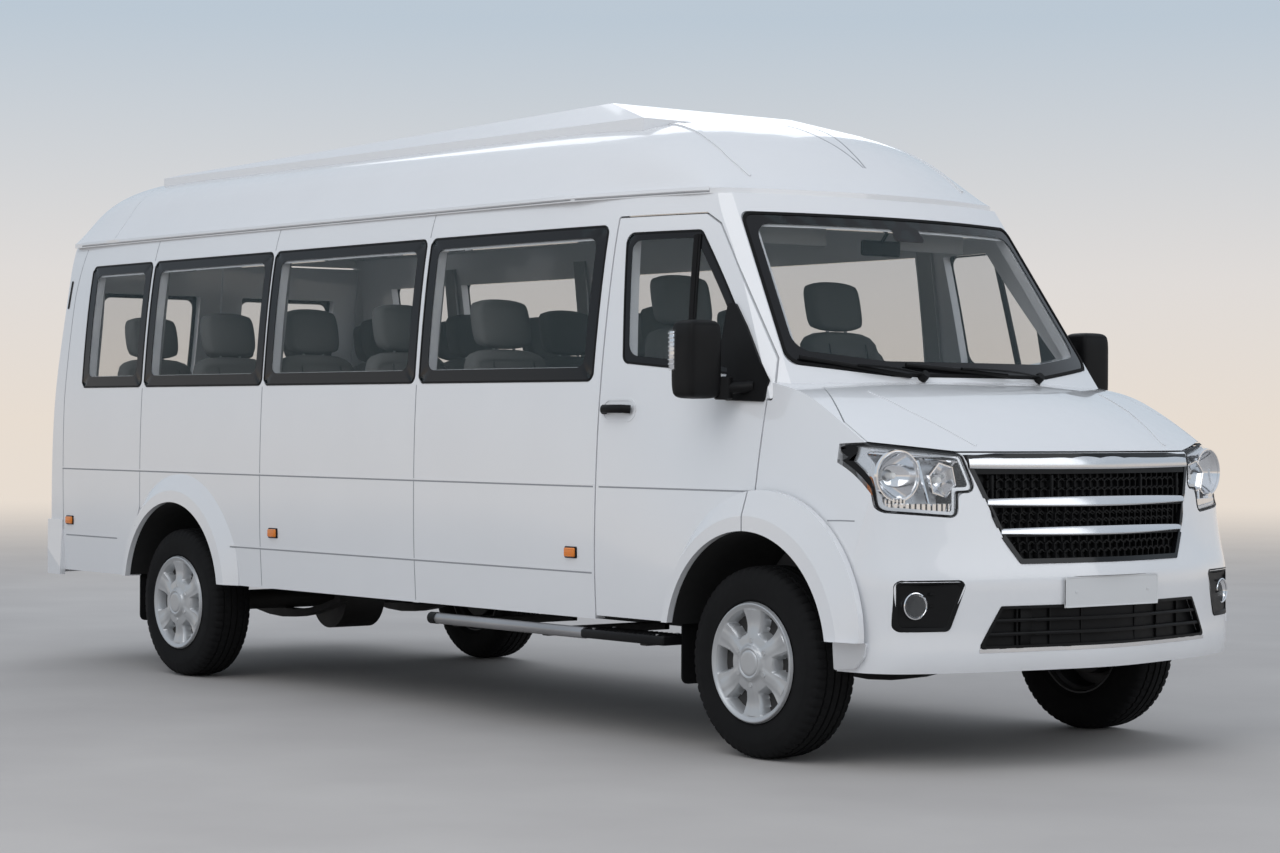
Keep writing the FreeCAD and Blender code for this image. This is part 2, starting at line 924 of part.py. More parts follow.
rear_axle_x = d.front_axle_x - d.wheelbase
arch_reach = d.crease_half + d.overrun
front_arch = wheel_cylinder(d.front_axle_x, d.arch_radius, 0, arch_reach)
rear_arch = wheel_cylinder(rear_axle_x, d.arch_radius, 0, arch_reach)
front_flare = flare(d.front_axle_x)
rear_flare = flare(rear_axle_x)
cabin_shell = cabin_outer.cut(cabin_inner)
right_half = block(Vector(-far, -far, 0), Vector(far, 0, far))
right_shell = cabin_shell.common(right_half)

# Outlines

PANES = (
    (d.pane_one_rear, d.pane_one_front),
    (d.pane_two_rear, d.pane_two_front),
    (d.pane_three_rear, d.pane_three_front),
    (d.pane_four_rear, d.pane_four_front),
)
pane_outlines = [[(rear, d.pane_low_z), (front, d.pane_low_z), (front, d.pane_high_z), (rear, d.pane_high_z)]
                 for rear, front in PANES]
pillar_back = d.pillar_round * (d.pillar_foot_x - d.pillar_top_x) / (d.door_high_z - d.pillar_foot_z)
door_outline = [
    (d.door_rear_x, d.door_low_z),
    (d.door_front_x, d.door_low_z),
    (d.door_front_x, d.door_nose_z),
    (d.door_nose_x, d.door_nose_z),
    (d.pillar_foot_x, d.pillar_foot_z),
    (d.pillar_top_x + pillar_back, d.door_high_z - d.pillar_round),
    (d.pillar_top_x - d.pillar_round, d.door_high_z),
    (d.door_rear_x, d.door_high_z),
]
door_pane_outline = [
    (d.door_pane_rear_low, d.door_pane_low_z),
    (d.door_pane_front_x, d.door_pane_front_z),
    (d.door_pane_top_x, d.door_pane_high_z),
    (d.door_pane_rear_high, d.door_pane_high_z),
]
rear_door_outline = [
    (-d.rear_door_half, d.rear_door_low_z),
    (-d.rear_seam / 2, d.rear_door_low_z),
    (-d.rear_seam / 2, d.rear_door_high_z),
    (-d.rear_door_half, d.rear_door_high_z),
]
rear_pane_outline = [
    (-d.rear_door_half + d.rear_pane_edge, d.rear_pane_low_z),
    (-d.rear_pane_edge, d.rear_pane_low_z),
    (-d.rear_pane_edge, d.rear_pane_high_z),
    (-d.rear_door_half + d.rear_pane_edge, d.rear_pane_high_z),
]
screen_outline = both_sides([
    (0.5 * d.screen_foot_half, d.screen_foot_z),
    (d.screen_foot_half, d.screen_corner_z),
    (d.screen_top_half, d.screen_top_z),
])
bonnet_half_outline = [
    (d.bonnet_rear_x, 0),
    (d.bonnet_corner_x, d.bonnet_corner_y),
    (d.bonnet_shoulder_x, d.bonnet_shoulder_y),
    (d.nose_x + d.wall, d.bonnet_shoulder_y),
]
bonnet_outline = bonnet_half_outline[1:] + [(x, -y) for x, y in reversed(bonnet_half_outline[1:])]
bonnet_outline.append(bonnet_half_outline[0])
grille_outline = both_sides([
    (d.grille_top_half, d.grille_top_z),
    (d.grille_waist_half, d.grille_waist_z),
    (d.grille_low_half, d.grille_low_z),
])
intake_outline = both_sides([
    (d.intake_top_half, d.intake_top_z),
    (d.intake_low_half, d.intake_low_z),
])
lamp_outline = [
    (-d.lamp_outer_y, d.lamp_outer_top_z),
    (-d.lamp_inner_top_y, d.lamp_inner_top_z),
    (-d.lamp_corner_y, d.lamp_corner_z),
    (-d.lamp_notch_y, d.lamp_notch_z),
    (-d.lamp_inner_low_y, d.lamp_inner_low_z),
    (-d.lamp_outer_low_y, d.lamp_outer_low_z),
]
fog_outline = [
    (-d.fog_outer_y, d.fog_top_z),
    (-d.fog_inner_y, d.fog_top_z),
    (-d.fog_inner_y - d.fog_slant, d.fog_low_z),
    (-d.fog_outer_y, d.fog_low_z),
]


def right_prism(pairs, radius, grow=0):
    """A side-view outline spread over the right-hand wall only."""
    return prism("y", pairs, -far, -d.rail_half, radius, grow)


def rear_prism(pairs, radius, grow=0):
    """A rear-view outline spread over the rear wall only."""
    return prism("x", pairs, -far, -d.floor_rear_x + d.wall, radius, grow)


INWARD = {"side": Vector(0, 1, 0), "rear": Vector(1, 0, 0), "screen": Vector(-1.22, 0, 0)}


def skin_slice(outline_prism, facing, depth):
    """The outer few millimetres of the cabin's walls inside an outline."""
    inner = cabin_outer.copy()
    inner.translate(INWARD[facing] * depth)
    return cabin_outer.common(outline_prism).cut(inner)


def glazed(wall_shape, pane_prism, clear_prism, facing):
    """A wall with a shallow seat for flush glass and a clear hole behind it."""
    return wall_shape.cut(skin_slice(pane_prism, facing, d.glass_seat)).cut(clear_prism)


# Side walls

def side_wall():
    """The right-hand wall from the middle pillar back, with its share of the rear frame."""
    front_x = d.door_rear_x - d.door_gap
    zone = block(Vector(-far, -far, 0), Vector(front_x, 0, far))
    wall_shape = cabin_shell.common(zone)
    lip = rear_flare.cut(cabin_inner)
    wall_shape = wall_shape.fuse(lip)
    for outline in pane_outlines:
        pane = right_prism(outline, d.pane_radius)
        clear = right_prism(outline, d.pane_radius, -d.pane_border)
        wall_shape = glazed(wall_shape, pane, clear, "side")
    wall_shape = wall_shape.cut(rear_prism(rear_door_outline, 0, d.door_gap))
    wall_shape = wall_shape.cut(rear_arch)
    wall_shape = wall_shape.cut(tail_zone(d.spindle_gap))
    return wall_shape


def tail_zone(grow):
    """The corner that the right-hand tail lamp fills."""
    return block(Vector(-far, -far, d.tail_low_z - grow),
                 Vector(-d.tail_front_x + grow, -d.tail_inner_y + grow, d.tail_high_z + grow))


def side_panes():
    panes = []
    for outline in pane_outlines:
        pane = right_prism(outline, d.pane_radius, -d.glass_edge)
        panes.append(skin_slice(pane, "side", d.glass))
    return Part.makeCompound(panes)


wall_right = node("side_wall_right", feature(side_wall()))
node("side_wall_left", mirrored(wall_right))
panes_right = feature(side_panes())
node("side_glass", group(panes_right, mirrored(panes_right)))

# Front doors

door_slab = RIGHT_SIDE.extrude(Vector(0, d.wall, 0))
door_space = moved(RIGHT_SIDE, y=-d.overrun).extrude(Vector(0, d.overrun + d.wall + d.door_gap, 0))
door_prism = right_prism(door_outline, d.seam)
door_cut = right_prism(door_outline, d.seam, d.door_gap).common(door_space)


def front_door():
    """The right-hand front door with its part of the arch lip and its window cut."""
    panel = cabin_shell.common(door_slab).fuse(front_flare.cut(cabin_inner)).common(door_prism)
    panel = panel.cut(front_arch)
    for level in (d.door_leaf_low_z, d.door_leaf_high_z):
        low = Vector(d.door_front_x - d.leaf_root, -far, level - d.leaf_half)
        high = Vector(d.door_front_x + d.door_gap - d.spindle_gap, -d.rail_half, level + d.leaf_half)
        panel = panel.fuse(moved(cabin_shell, y=d.leaf_inset).common(block(low, high)))
    pane = right_prism(door_pane_outline, d.pane_radius)
    clear = right_prism(door_pane_outline, d.pane_radius, -d.door_border)
    return glazed(panel, pane, clear, "side")


door_right = node("front_door_right", feature(front_door()))
node("front_door_left", mirrored(door_right))
door_pane_prism = right_prism(door_pane_outline, d.pane_radius, -d.glass_edge)
door_pane = node("door_glass_right", feature(skin_slice(door_pane_prism, "side", d.glass)))
node("door_glass_left", mirrored(door_pane))

# Rear doors


def rear_door():
    panel = cabin_shell.common(rear_prism(rear_door_outline, 0))
    for level in (d.rear_leaf_low_z, d.rear_leaf_mid_z, d.rear_leaf_high_z):
        low = Vector(-far, -d.rear_door_half - d.door_gap + d.spindle_gap, level - d.leaf_half)
        high = Vector(-d.rear_bumper_front_x, -d.rear_door_half + d.leaf_root, level + d.leaf_half)
        panel = panel.fuse(moved(cabin_shell, x=d.leaf_inset).common(block(low, high)))
    pane = rear_prism(rear_pane_outline, d.pane_radius)
    clear = rear_prism(rear_pane_outline, d.pane_radius, -d.door_border)
    return glazed(panel, pane, clear, "rear")


rear_door_right = node("rear_door_right", feature(rear_door()))
node("rear_door_left", mirrored(rear_door_right))
rear_pane_prism = rear_prism(rear_pane_outline, d.pane_radius, -d.glass_edge)
rear_pane = node("rear_glass_right", feature(skin_slice(rear_pane_prism, "rear", d.glass)))
node("rear_glass_left", mirrored(rear_pane))

# Cab frame and windscreen


def screen_prism(grow):
    return prism("x", screen_outline, d.screen_foot_x - d.wheelbase / 4, far, d.pane_radius, grow)


def cab_frame():
    """Windscreen pillars, header and the strips above the front doors."""
    zone = block(Vector(d.door_rear_x - d.door_gap, -far, d.dash_high_z - d.wall), Vector(far, far, far))
    frame_shape = cabin_shell.common(zone)
    for tool in (door_cut, door_cut.mirror(Vector(0, 0, 0), Vector(0, 1, 0)), front_outer):
        frame_shape = frame_shape.cut(tool)
    return glazed(frame_shape, screen_prism(0), screen_prism(-d.pane_border), "screen")


node("cab_frame", feature(cab_frame()))
node("windscreen", feature(skin_slice(screen_prism(-d.glass_edge), "screen", d.glass)))

# Front end

front_shell = front_outer.cut(front_inner)


def bonnet_zone(grow):
    """The space over the bonnet's outline and above the lamps and grille."""
    rise = d.panel_gap - grow
    above = both_sides([
        (d.lamp_inner_top_y, d.lamp_inner_top_z + rise),
        (d.lamp_outer_y, d.lamp_outer_top_z + rise),
        (d.lamp_outer_y, far),
    ])
    front_view = prism("x", above, 0, far)
    return prism("z", bonnet_outline, 0, far, 0, grow).common(front_view)


bonnet_prism = bonnet_zone(0)
bonnet_cut = bonnet_zone(d.panel_gap)
grille_cut = prism("x", grille_outline, d.bumper_rear_x, far)
intake_cut = prism("x", intake_outline, d.bumper_rear_x, far)
lamp_cut = prism("x", lamp_outline, d.bonnet_shoulder_x, far, d.skin_wall, d.lamp_gap)
lamp_prism = prism("x", lamp_outline, d.bonnet_shoulder_x, far, d.skin_wall)
fog_prism = prism("x", fog_outline, d.bonnet_shoulder_x, far, d.fog_recess / 2)
plate_box = block(Vector(d.plate_x, -d.plate_width / 2, d.plate_z - d.plate_height / 2),
                  Vector(d.plate_x + d.plate_thick, d.plate_width / 2, d.plate_z + d.plate_height / 2))
flat_edge = d.panel_gap / 2
plate_flat = block(Vector(d.plate_x, -d.plate_width / 2 - flat_edge, d.plate_z - d.plate_height / 2 - flat_edge),
                   Vector(far, d.plate_width / 2 + flat_edge, d.plate_z + d.plate_height / 2 + flat_edge))


def set_back(depth):
    """The front end's volume moved back, for what lies behind its face."""
    return moved(front_outer, x=-depth)


def left_too(shape):
    """The shape and its mirror image, not joined."""
    return [shape, shape.mirror(Vector(0, 0, 0), Vector(0, 1, 0))]


def wing():
    """The right-hand wing over the wheel and beside the bonnet."""
    behind = block(Vector(0, -far, 0), Vector(d.bumper_rear_x, -d.bonnet_corner_y, far))
    above = block(Vector(d.bumper_rear_x, -far, d.bumper_top_z), Vector(far, -d.lamp_inner_low_y, far))
    shape = front_shell.fuse(front_flare.cut(front_inner)).common(behind.fuse(above))
    shape = shape.common(block(Vector(d.front_end_x, -far, 0), Vector(far, 0, far)))
    for tool in (bonnet_cut, lamp_cut, front_arch, door_cut):
        shape = shape.cut(tool)
    return shape


def front_bumper():
    """The bumper with its intake, lamp recesses and the panel round the grille."""
    ahead = block(Vector(d.bumper_rear_x, -far, 0), Vector(far, far, d.bumper_top_z))
    middle = block(Vector(d.bumper_rear_x, -d.lamp_inner_low_y, 0), Vector(far, d.lamp_inner_low_y, far))
    lips = Part.makeCompound(left_too(front_flare.cut(front_inner)))
    shape = front_shell.fuse(lips.Solids).common(ahead.fuse(middle))
    tools = [bonnet_cut, grille_cut, intake_cut, plate_flat]
    tools += left_too(lamp_cut) + left_too(front_arch)
    for tool in tools:
        shape = shape.cut(tool)
    for pocket in left_too(fog_prism.cut(set_back(d.fog_recess))):
        shape = shape.cut(pocket)
    return shape


def front_bars(outline, edge_levels):
    """The strips of a grille between pairs of levels, out to the surface."""
    opening = prism("x", outline, d.bumper_rear_x, far, 0, -d.glass_edge)
    strips = []
    for low, high in edge_levels:
        strips.append(block(Vector(d.bumper_rear_x, -far, low), Vector(far, far, high)))
    bars = strips[0].fuse(strips[1:]) if len(strips) > 1 else strips[0]
    return front_outer.common(opening).common(bars).cut(set_back(d.grille_recess * 2))


def grille():
    """The upper grille with its bars and the lower intake's insert."""
    recessed = set_back(d.grille_recess).cut(set_back(d.grille_depth))
    tow_way = block(Vector(d.bumper_rear_x, -d.rail_half - d.tow_radius - d.seam, 0),
                    Vector(far, -d.rail_half + d.tow_radius + d.seam, d.intake_top_z + d.seam))
    pieces = []
    grille_pitch = (d.grille_top_z - d.grille_bar_top - d.grille_low_z) / 3
    levels = [(d.grille_top_z - d.grille_bar_top, d.grille_top_z)]
    for number in (1, 2):
        level = d.grille_low_z + number * grille_pitch
        levels.append((level - d.grille_bar / 2, level + d.grille_bar / 2))
    intake_pitch = (d.intake_top_z - d.intake_low_z) / 3
    intake_levels = []
    for number in (1, 2):
        level = d.intake_low_z + number * intake_pitch
        intake_levels.append((level - d.intake_bar / 2, level + d.intake_bar / 2))
    for outline, edge_levels in ((grille_outline, levels), (intake_outline, intake_levels)):
        opening = prism("x", outline, d.bumper_rear_x, far, 0, -d.glass_edge)
        back = recessed.common(opening)
        pieces.append(back.fuse(front_bars(outline, edge_levels)).cut(tow_way))
    return Part.makeCompound([solid for piece in pieces for solid in piece.Solids])


def front_lamps():
    """Both headlamps and both fog lamps."""
    lamp = front_outer.common(lamp_prism).cut(set_back(d.lamp_depth))
    centre = Vector(d.bonnet_shoulder_x, d.fog_recess + d.fog_radius - d.fog_outer_y,
                    (d.fog_low_z + d.fog_top_z) / 2)
    round_lamp = Part.makeCylinder(d.fog_radius, far, centre, Vector(1, 0, 0))
    fog = set_back(d.fog_recess / 2).common(round_lamp).cut(set_back(d.fog_recess))
    return Part.makeCompound(left_too(lamp) + left_too(fog))


def scuttle():
    """The panel between the bonnet and the windscreen's foot."""
    zone = block(Vector(d.scuttle_rear_x, -d.bonnet_corner_y, 0), Vector(far, d.bonnet_corner_y, far))
    shape = front_shell.common(zone).cut(bonnet_cut)
    above = block(Vector(d.scuttle_rear_x, -far, d.dash_high_z - d.wall), Vector(d.bonnet_rear_x, far, far))
    return shape.common(above)


def bonnet():
    """The bonnet's skin with a hinge leaf near each rear corner."""
    shape = front_shell.common(bonnet_prism)
    reach = bonnet_zone(d.panel_gap - d.spindle_gap)
    for side in (-1, 1):
        low = Vector(d.scuttle_rear_x, side * d.bonnet_leaf_y - d.leaf_half, 0)
        high = Vector(d.bonnet_rear_x, side * d.bonnet_leaf_y + d.leaf_half, far)
        shape = shape.fuse(moved(front_shell, z=-d.leaf_inset).common(reach).common(block(low, high)))
    return shape


wing_right = node("wing_right", feature(wing()))
node("wing_left", mirrored(wing_right))
node("bonnet", feature(bonnet()))
node("scuttle", feature(scuttle()))
node("front_bumper", feature(front_bumper()))
node("grille", feature(grille()))
node("front_lamps", feature(front_lamps()))
node("number_plate", feature(plate_box))

# Rear bumper, tail lamps and side markers

bumper_outer = cabin_volume(-d.bumper_proud, d.rear_bumper_low_z, d.rear_bumper_high_z)
bumper_zone = block(Vector(-far, -far, 0), Vector(-d.rear_bumper_front_x, far, far))
node("rear_bumper", feature(bumper_outer.cut(cabin_tall).common(bumper_zone)))
tail_lamp = feature(cabin_shell.common(tail_zone(0)))
node("tail_lamps", group(tail_lamp, mirrored(tail_lamp)))


def markers():
    outer = moved(cabin_outer, y=-d.marker_proud)
    shapes = []
    for centre in (d.marker_one_x, d.marker_two_x, d.marker_three_x):
        low = Vector(centre - d.marker_length / 2, -far, d.marker_z - d.marker_height / 2)
        high = Vector(centre + d.marker_length / 2, -d.rail_half, d.marker_z + d.marker_height / 2)
        shapes.append(outer.common(block(low, high)).cut(cabin_outer))
    return Part.makeCompound(shapes)


markers_right = feature(markers())
node("side_markers", group(markers_right, mirrored(markers_right)))

# Roof

roof_outer = roof_volume(0)
roof_shell = roof_outer.cut(moved(roof_volume(d.roof_wall), z=-d.seam))
behind_seam = block(Vector(-far, -far, 0), Vector(-d.roof_seam_x - d.seam / 2, far, far))
ahead_seam = block(Vector(-d.roof_seam_x + d.seam / 2, -far, 0), Vector(far, far, far))
node("roof", feature(roof_shell.common(ahead_seam)))
node("roof_rear_cap", feature(roof_shell.common(behind_seam)))


def roof_pod():
    """The long raised fairing along the roof."""
    pod_mid_z = (d.pod_foot_z + d.pod_top_z) / 2
    section = both_sides([(d.pod_half, d.pod_foot_z), (d.pod_half, pod_mid_z), (d.pod_top_half, d.pod_top_z)])
    profile = [
        (-d.pod_rear_x, d.pod_foot_z),
        (-d.pod_rear_x, pod_mid_z),
        (-d.pod_rear_x + d.roof_seam_x / 14, d.pod_rear_z),
        (d.pod_front_x, d.pod_top_z),
        (d.pod_nose_x, pod_mid_z),
        (d.pod_nose_x, d.pod_foot_z),
    ]
    long_shape = prism("x", section, -far, far)
    side_shape = prism("y", profile, -far, far)
    return long_shape.common(side_shape).cut(roof_outer)


node("roof_pod", feature(roof_pod()))

# Chassis, floor and running gear


def wheel_house(axle_x, outer):
    """The inner arch over a right-hand wheel, out to a half width, and the space inside it."""
    shell = wheel_cylinder(axle_x, d.arch_radius + d.house_gap + d.house_wall, d.house_inner_y, outer)
    space = wheel_cylinder(axle_x, d.arch_radius + d.house_gap, d.house_inner_y + d.house_wall, arch_reach)
    return shell, space


def floor():
    """The flat floor with its inner arches and the bulkhead."""
    plate = block(Vector(-d.floor_rear_x, -d.floor_half, d.floor_low_z),
                  Vector(d.bulkhead_x, d.floor_half, d.floor_high_z))
    bulkhead = block(Vector(d.bulkhead_x - d.house_wall, -d.bulkhead_half, d.floor_low_z),
                     Vector(d.bulkhead_x, d.bulkhead_half, d.bulkhead_top_z))
    shape = plate.fuse(bulkhead)
    spaces = []
    for axle_x, outer in ((d.front_axle_x, d.house_outer_y), (rear_axle_x, d.floor_half)):
        shell, space = wheel_house(axle_x, outer)
        above = block(Vector(-far, -far, d.floor_low_z), Vector(far, far, far))
        for arch, hollow in zip(left_too(shell.common(above)), left_too(space)):
            shape = shape.fuse(arch)
            spaces.append(hollow)
    for hollow in spaces:
        shape = shape.cut(hollow)
    return shape


node("floor", feature(floor()))

CROSS_SHARES = (-0.97, -0.80, -0.44, -0.20, 0.10, 0.42)


def rail(side):
    return box("spindle_gap - rail_rear_x", f"{side} * (rail_half - rail_width / 2) - rail_width / 2", "rail_low_z",
               "rail_rear_x + rail_front_x - cross_length - 2 * spindle_gap", "rail_width",
               "rail_high_z - rail_low_z - spindle_gap")


frame_parts = [rail(-1), rail(1)]
for side in (-1, 1):
    frame_parts.append(box("pad_x - pad_length / 2", f"{side} * (rail_half - rail_width / 2) - rail_width / 2",
                           "rail_low_z - spindle_gap - pad_thick", "pad_length", "rail_width", "pad_thick"))
for share in CROSS_SHARES:
    frame_parts.append(box(f"{share} * rail_rear_x - cross_length / 2", "-cross_half", "rail_high_z",
                           "cross_length", "2 * cross_half", "floor_low_z - rail_high_z"))
tow_cross = fuse(
    box("rail_front_x - cross_length", "-short_cross_half", "rail_low_z",
        "cross_length", "2 * short_cross_half", "rail_high_z - rail_low_z - spindle_gap"),
    rod("x", "rail_front_x - cross_length / 2", "-rail_half", "(rail_low_z + rail_high_z) / 2",
        "tow_boss", "tow_x - rail_front_x + cross_length / 2"),
)
tow_hole = rod("x", "tow_x - tow_depth", "-rail_half", "(rail_low_z + rail_high_z) / 2",
               "tow_radius", "tow_depth + overrun")
frame_parts.append(cut(tow_cross, tow_hole))
hitch = box("-rail_rear_x - hitch_plate", "-rail_half", "rail_low_z",
            "hitch_plate", "2 * rail_half", "rail_high_z - rail_low_z - spindle_gap")
hitch_holes = []
for side in (-1, 1):
    for row in (-1, 1):
        hitch_holes.append(rod("x", "-rail_rear_x - overrun", f"{side} * hitch_spacing_y / 2",
                               f"(rail_low_z + rail_high_z) / 2 + {row} * hitch_spacing_z / 2",
                               "hitch_hole_radius", "overrun + hitch_plate"))
frame_parts.append(cut(hitch, *hitch_holes))
node("chassis_frame", group(*frame_parts))

SPRING_SHARES = (-1.0, -0.75, -0.5, -0.25, 0.0, 0.25, 0.5, 0.75, 1.0)


def leaf_spring(axle_x, side):
    """A bowed pack of leaves under a rail with an eye at each end."""
    lower = []
    upper = []
    for share in SPRING_SHARES:
        along = f"{share} * spring_half"
        rise = f"{share * share} * spring_rise"
        thin = f"spring_thick * {1 - 0.5 * abs(share)}"
        lower.append((along, rise))
        upper.append((along, f"{rise} + {thin}"))
    pack = padded_outline("XZ_Plane", lower + upper[::-1], "spring_width")
    across = f"{side} * (rail_half - rail_width / 2)"
    low = "tyre_radius - axle_tube_radius - spring_thick - spindle_gap"
    place(pack, axle_x, across, low)
    eyes = []
    for end in (-1, 1):
        eyes.append(box(f"{axle_x} + {end} * spring_half - eye_radius", f"{across} - spring_width / 2",
                        f"{low} + spring_rise", "2 * eye_radius", "spring_width",
                        "rail_low_z - tyre_radius + axle_tube_radius + spring_thick + spindle_gap - spring_rise"))
    return fuse(pack, *eyes)


springs = [leaf_spring(axle_x, side) for axle_x in ("front_axle_x", "(front_axle_x - wheelbase)")
           for side in (-1, 1)]
node("leaf_springs", group(*springs))

kingpin_y = "(half_track - kingpin_offset)"
beam = box("front_axle_x - beam_size / 2", f"-{kingpin_y}", "tyre_radius - axle_tube_radius",
           "beam_size", f"2 * {kingpin_y}", "axle_tube_radius + axle_boss_half")
beam_parts = [beam]
beam_holes = []
for side in (-1, 1):
    beam_parts.append(rod("z", "front_axle_x", f"{side} * {kingpin_y}", "tyre_radius - axle_boss_half",
                          "axle_boss_radius", "2 * axle_boss_half"))
    beam_holes.append(rod("z", "front_axle_x", f"{side} * {kingpin_y}", "0",
                          "spindle_radius + spindle_gap", "2 * tyre_radius"))
    for level, height in (("0", "tyre_radius - axle_boss_half"), ("tyre_radius + axle_boss_half", "tyre_radius")):
        beam_holes.append(rod("z", "front_axle_x", f"{side} * {kingpin_y}", level,
                              "collar_radius + collar_gap", height))
    beam_holes.append(box("front_axle_x - beam_size", f"{side} * ({kingpin_y} + beam_size / 2) - beam_size / 2",
                          "tyre_radius + axle_boss_half", "2 * beam_size", "beam_size", "beam_size"))
node("front_axle", cut(fuse(*beam_parts), *beam_holes))

axle_parts = [
    rod("y", "front_axle_x - wheelbase", "-(half_track - drum_width)", "tyre_radius",
        "axle_tube_radius", "2 * (half_track - drum_width)"),
    rod("y", "front_axle_x - wheelbase", "-(half_track + spindle_end)", "tyre_radius",
        "spindle_radius", "2 * (half_track + spindle_end)"),
    rod("y", "front_axle_x - wheelbase", "-diff_width / 2", "tyre_radius", "diff_radius", "diff_width"),
]
for low in ("-(half_track - panel_gap)", "half_track - panel_gap - drum_width"):
    axle_parts.append(rod("y", "front_axle_x - wheelbase", low, "tyre_radius", "drum_radius", "drum_width"))
node("rear_axle", fuse(*axle_parts))


def knuckle(side):
    """The steered carrier of a front wheel: kingpin, collars, plate and spindle."""
    centre = f"{side} * {kingpin_y}"
    plate_near = f"{side} * ({kingpin_y} + axle_boss_radius + collar_gap + knuckle_plate / 2) - knuckle_plate / 2"
    parts = [
        rod("z", "front_axle_x", centre, "tyre_radius - kingpin_half", "spindle_radius", "2 * kingpin_half"),
        box("front_axle_x - knuckle_half", plate_near, "tyre_radius - kingpin_half",
            "2 * knuckle_half", "knuckle_plate", "2 * kingpin_half"),
    ]
    collar = "kingpin_half - axle_boss_half - collar_gap"
    for level in ("tyre_radius - kingpin_half", "tyre_radius + axle_boss_half + collar_gap"):
        parts.append(rod("z", "front_axle_x", centre, level, "collar_radius", collar))
    start = f"{side} * ({kingpin_y} + axle_boss_radius + collar_gap)"
    length = "kingpin_offset - axle_boss_radius - collar_gap + spindle_end"
    low = start if side > 0 else f"{start} - ({length})"
    parts.append(rod("y", "front_axle_x", low, "tyre_radius", "spindle_radius", length))
    return fuse(*parts)


node("knuckle_right", knuckle(-1))
node("knuckle_left", knuckle(1))

# Wheels

TYRE_SHARES = (
    (0.000, 0.70),
    (0.072, 0.73),
    (0.180, 0.80),
    (0.390, 0.94),
    (0.630, 1.00),
    (0.840, 0.96),
    (0.958, 0.82),
    (1.000, 0.62),
)


def tyre():
    outer = [(f"rim_radius + {up} * (tyre_radius - rim_radius)", f"{out} * tyre_width / 2") for up, out in TYRE_SHARES]
    inner = [(radius, f"-{side}") for radius, side in reversed(outer)]
    return turned_outline(outer + inner)


def wheel():
    """Rim, disc and cover of a wheel whose outer side faces +Y."""
    barrel = [
        ("rim_radius - rim_wall", "-rim_half"),
        ("rim_radius", "-rim_half"),
        ("rim_radius", "rim_half - rim_wall"),
        ("rim_radius + rim_flange", "rim_half - rim_wall / 2"),
        ("cover_radius", "cover_face - cover_thick"),
        ("cover_radius", "cover_face"),
        ("rim_radius - 2 * rim_wall", "cover_face"),
        ("cover_hub_radius + rim_wall", "cover_face - cover_dish"),
        ("cover_hub_radius", "cover_face"),
        ("0", "cover_face"),
        ("0", "cover_face - cover_thick"),
        ("cover_hub_radius - cover_thick", "cover_face - cover_thick"),
        ("cover_hub_radius + rim_wall", "cover_face - cover_dish - cover_thick"),
        ("rim_radius - rim_wall", "cover_face - 2 * cover_thick"),
        ("rim_radius - rim_wall", "disc_offset + rim_wall"),
        ("hub_radius", "hub_length"),
        ("spindle_radius + spindle_gap", "hub_length"),
        ("spindle_radius + spindle_gap", "0"),
        ("hub_radius", "0"),
        ("hub_radius", "disc_offset"),
        ("rim_radius - rim_wall", "disc_offset"),
    ]
    return turned_outline(barrel)


WINDOW_COUNT = 6


def cover_windows():
    """The six openings of a wheel cover."""
    points = [("window_inner", "-window_inner_half"), ("window_outer", "-window_outer_half"),
              ("window_outer", "window_outer_half"), ("window_inner", "window_inner_half")]
    owner = body()
    outline = sketch(owner, "XZ_Plane", points)
    pad = owner.newObject("PartDesign::Pad", "pad")
    pad.Profile = outline
    pad.Reversed = True
    bind(pad, Length="2 * cover_face")
    pattern = owner.newObject("PartDesign::PolarPattern", "pattern")
    pattern.Originals = [pad]
    pattern.Axis = (outline, ["N_Axis"])
    pattern.Angle = 360
    pattern.Occurrences = WINDOW_COUNT
    owner.Tip = pattern
    place(owner, "0", "cover_face - 2 * cover_dish", "0")
    return owner


wheel_shape = cut(wheel(), cover_windows())
tyre_shape = tyre()
for end, axle in (("front", "front_axle_x"), ("rear", "front_axle_x - wheelbase")):
    for side, sign in (("right", "-"), ("left", "")):
        for name, source in (("tyre", tyre_shape), ("wheel", wheel_shape)):
            copy = group(source)
            if side == "right":
                turn(copy, (0, 0, 1), 180)
            place(copy, axle, f"{sign}half_track", "tyre_radius")
            node(f"{name}_{end}_{side}", copy)

# Driveline, exhaust and tank

pipe_z = "rail_high_z - silencer_radius - spindle_gap"
node("propshaft", rod("x", "front_axle_x - wheelbase + diff_radius", "0", "tyre_radius + shaft_radius", "shaft_radius",
                      "gearbox_rear_x - front_axle_x + wheelbase - diff_radius"))
node("exhaust", fuse(
    rod("x", "-floor_rear_x", "-pipe_y", pipe_z, "pipe_radius", "floor_rear_x + gearbox_rear_x"),
    rod("x", "silencer_x - silencer_length", "-pipe_y", pipe_z, "silencer_radius", "silencer_length"),
))
node("fuel_tank", box("tank_x", "rail_half", "tank_low_z", "tank_length", "tank_outer_y - rail_half",
                      "tank_high_z - tank_low_z"))
node("engine_block", fuse(
    box("engine_rear_x", "-engine_half", "engine_low_z", "engine_front_x - engine_rear_x",
        "2 * engine_half", "engine_high_z - engine_low_z"),
    box("gearbox_rear_x", "-gearbox_half", "gearbox_low_z", "engine_rear_x - gearbox_rear_x",
        "2 * gearbox_half", "gearbox_high_z - gearbox_low_z"),
))

# Side step and mud flaps

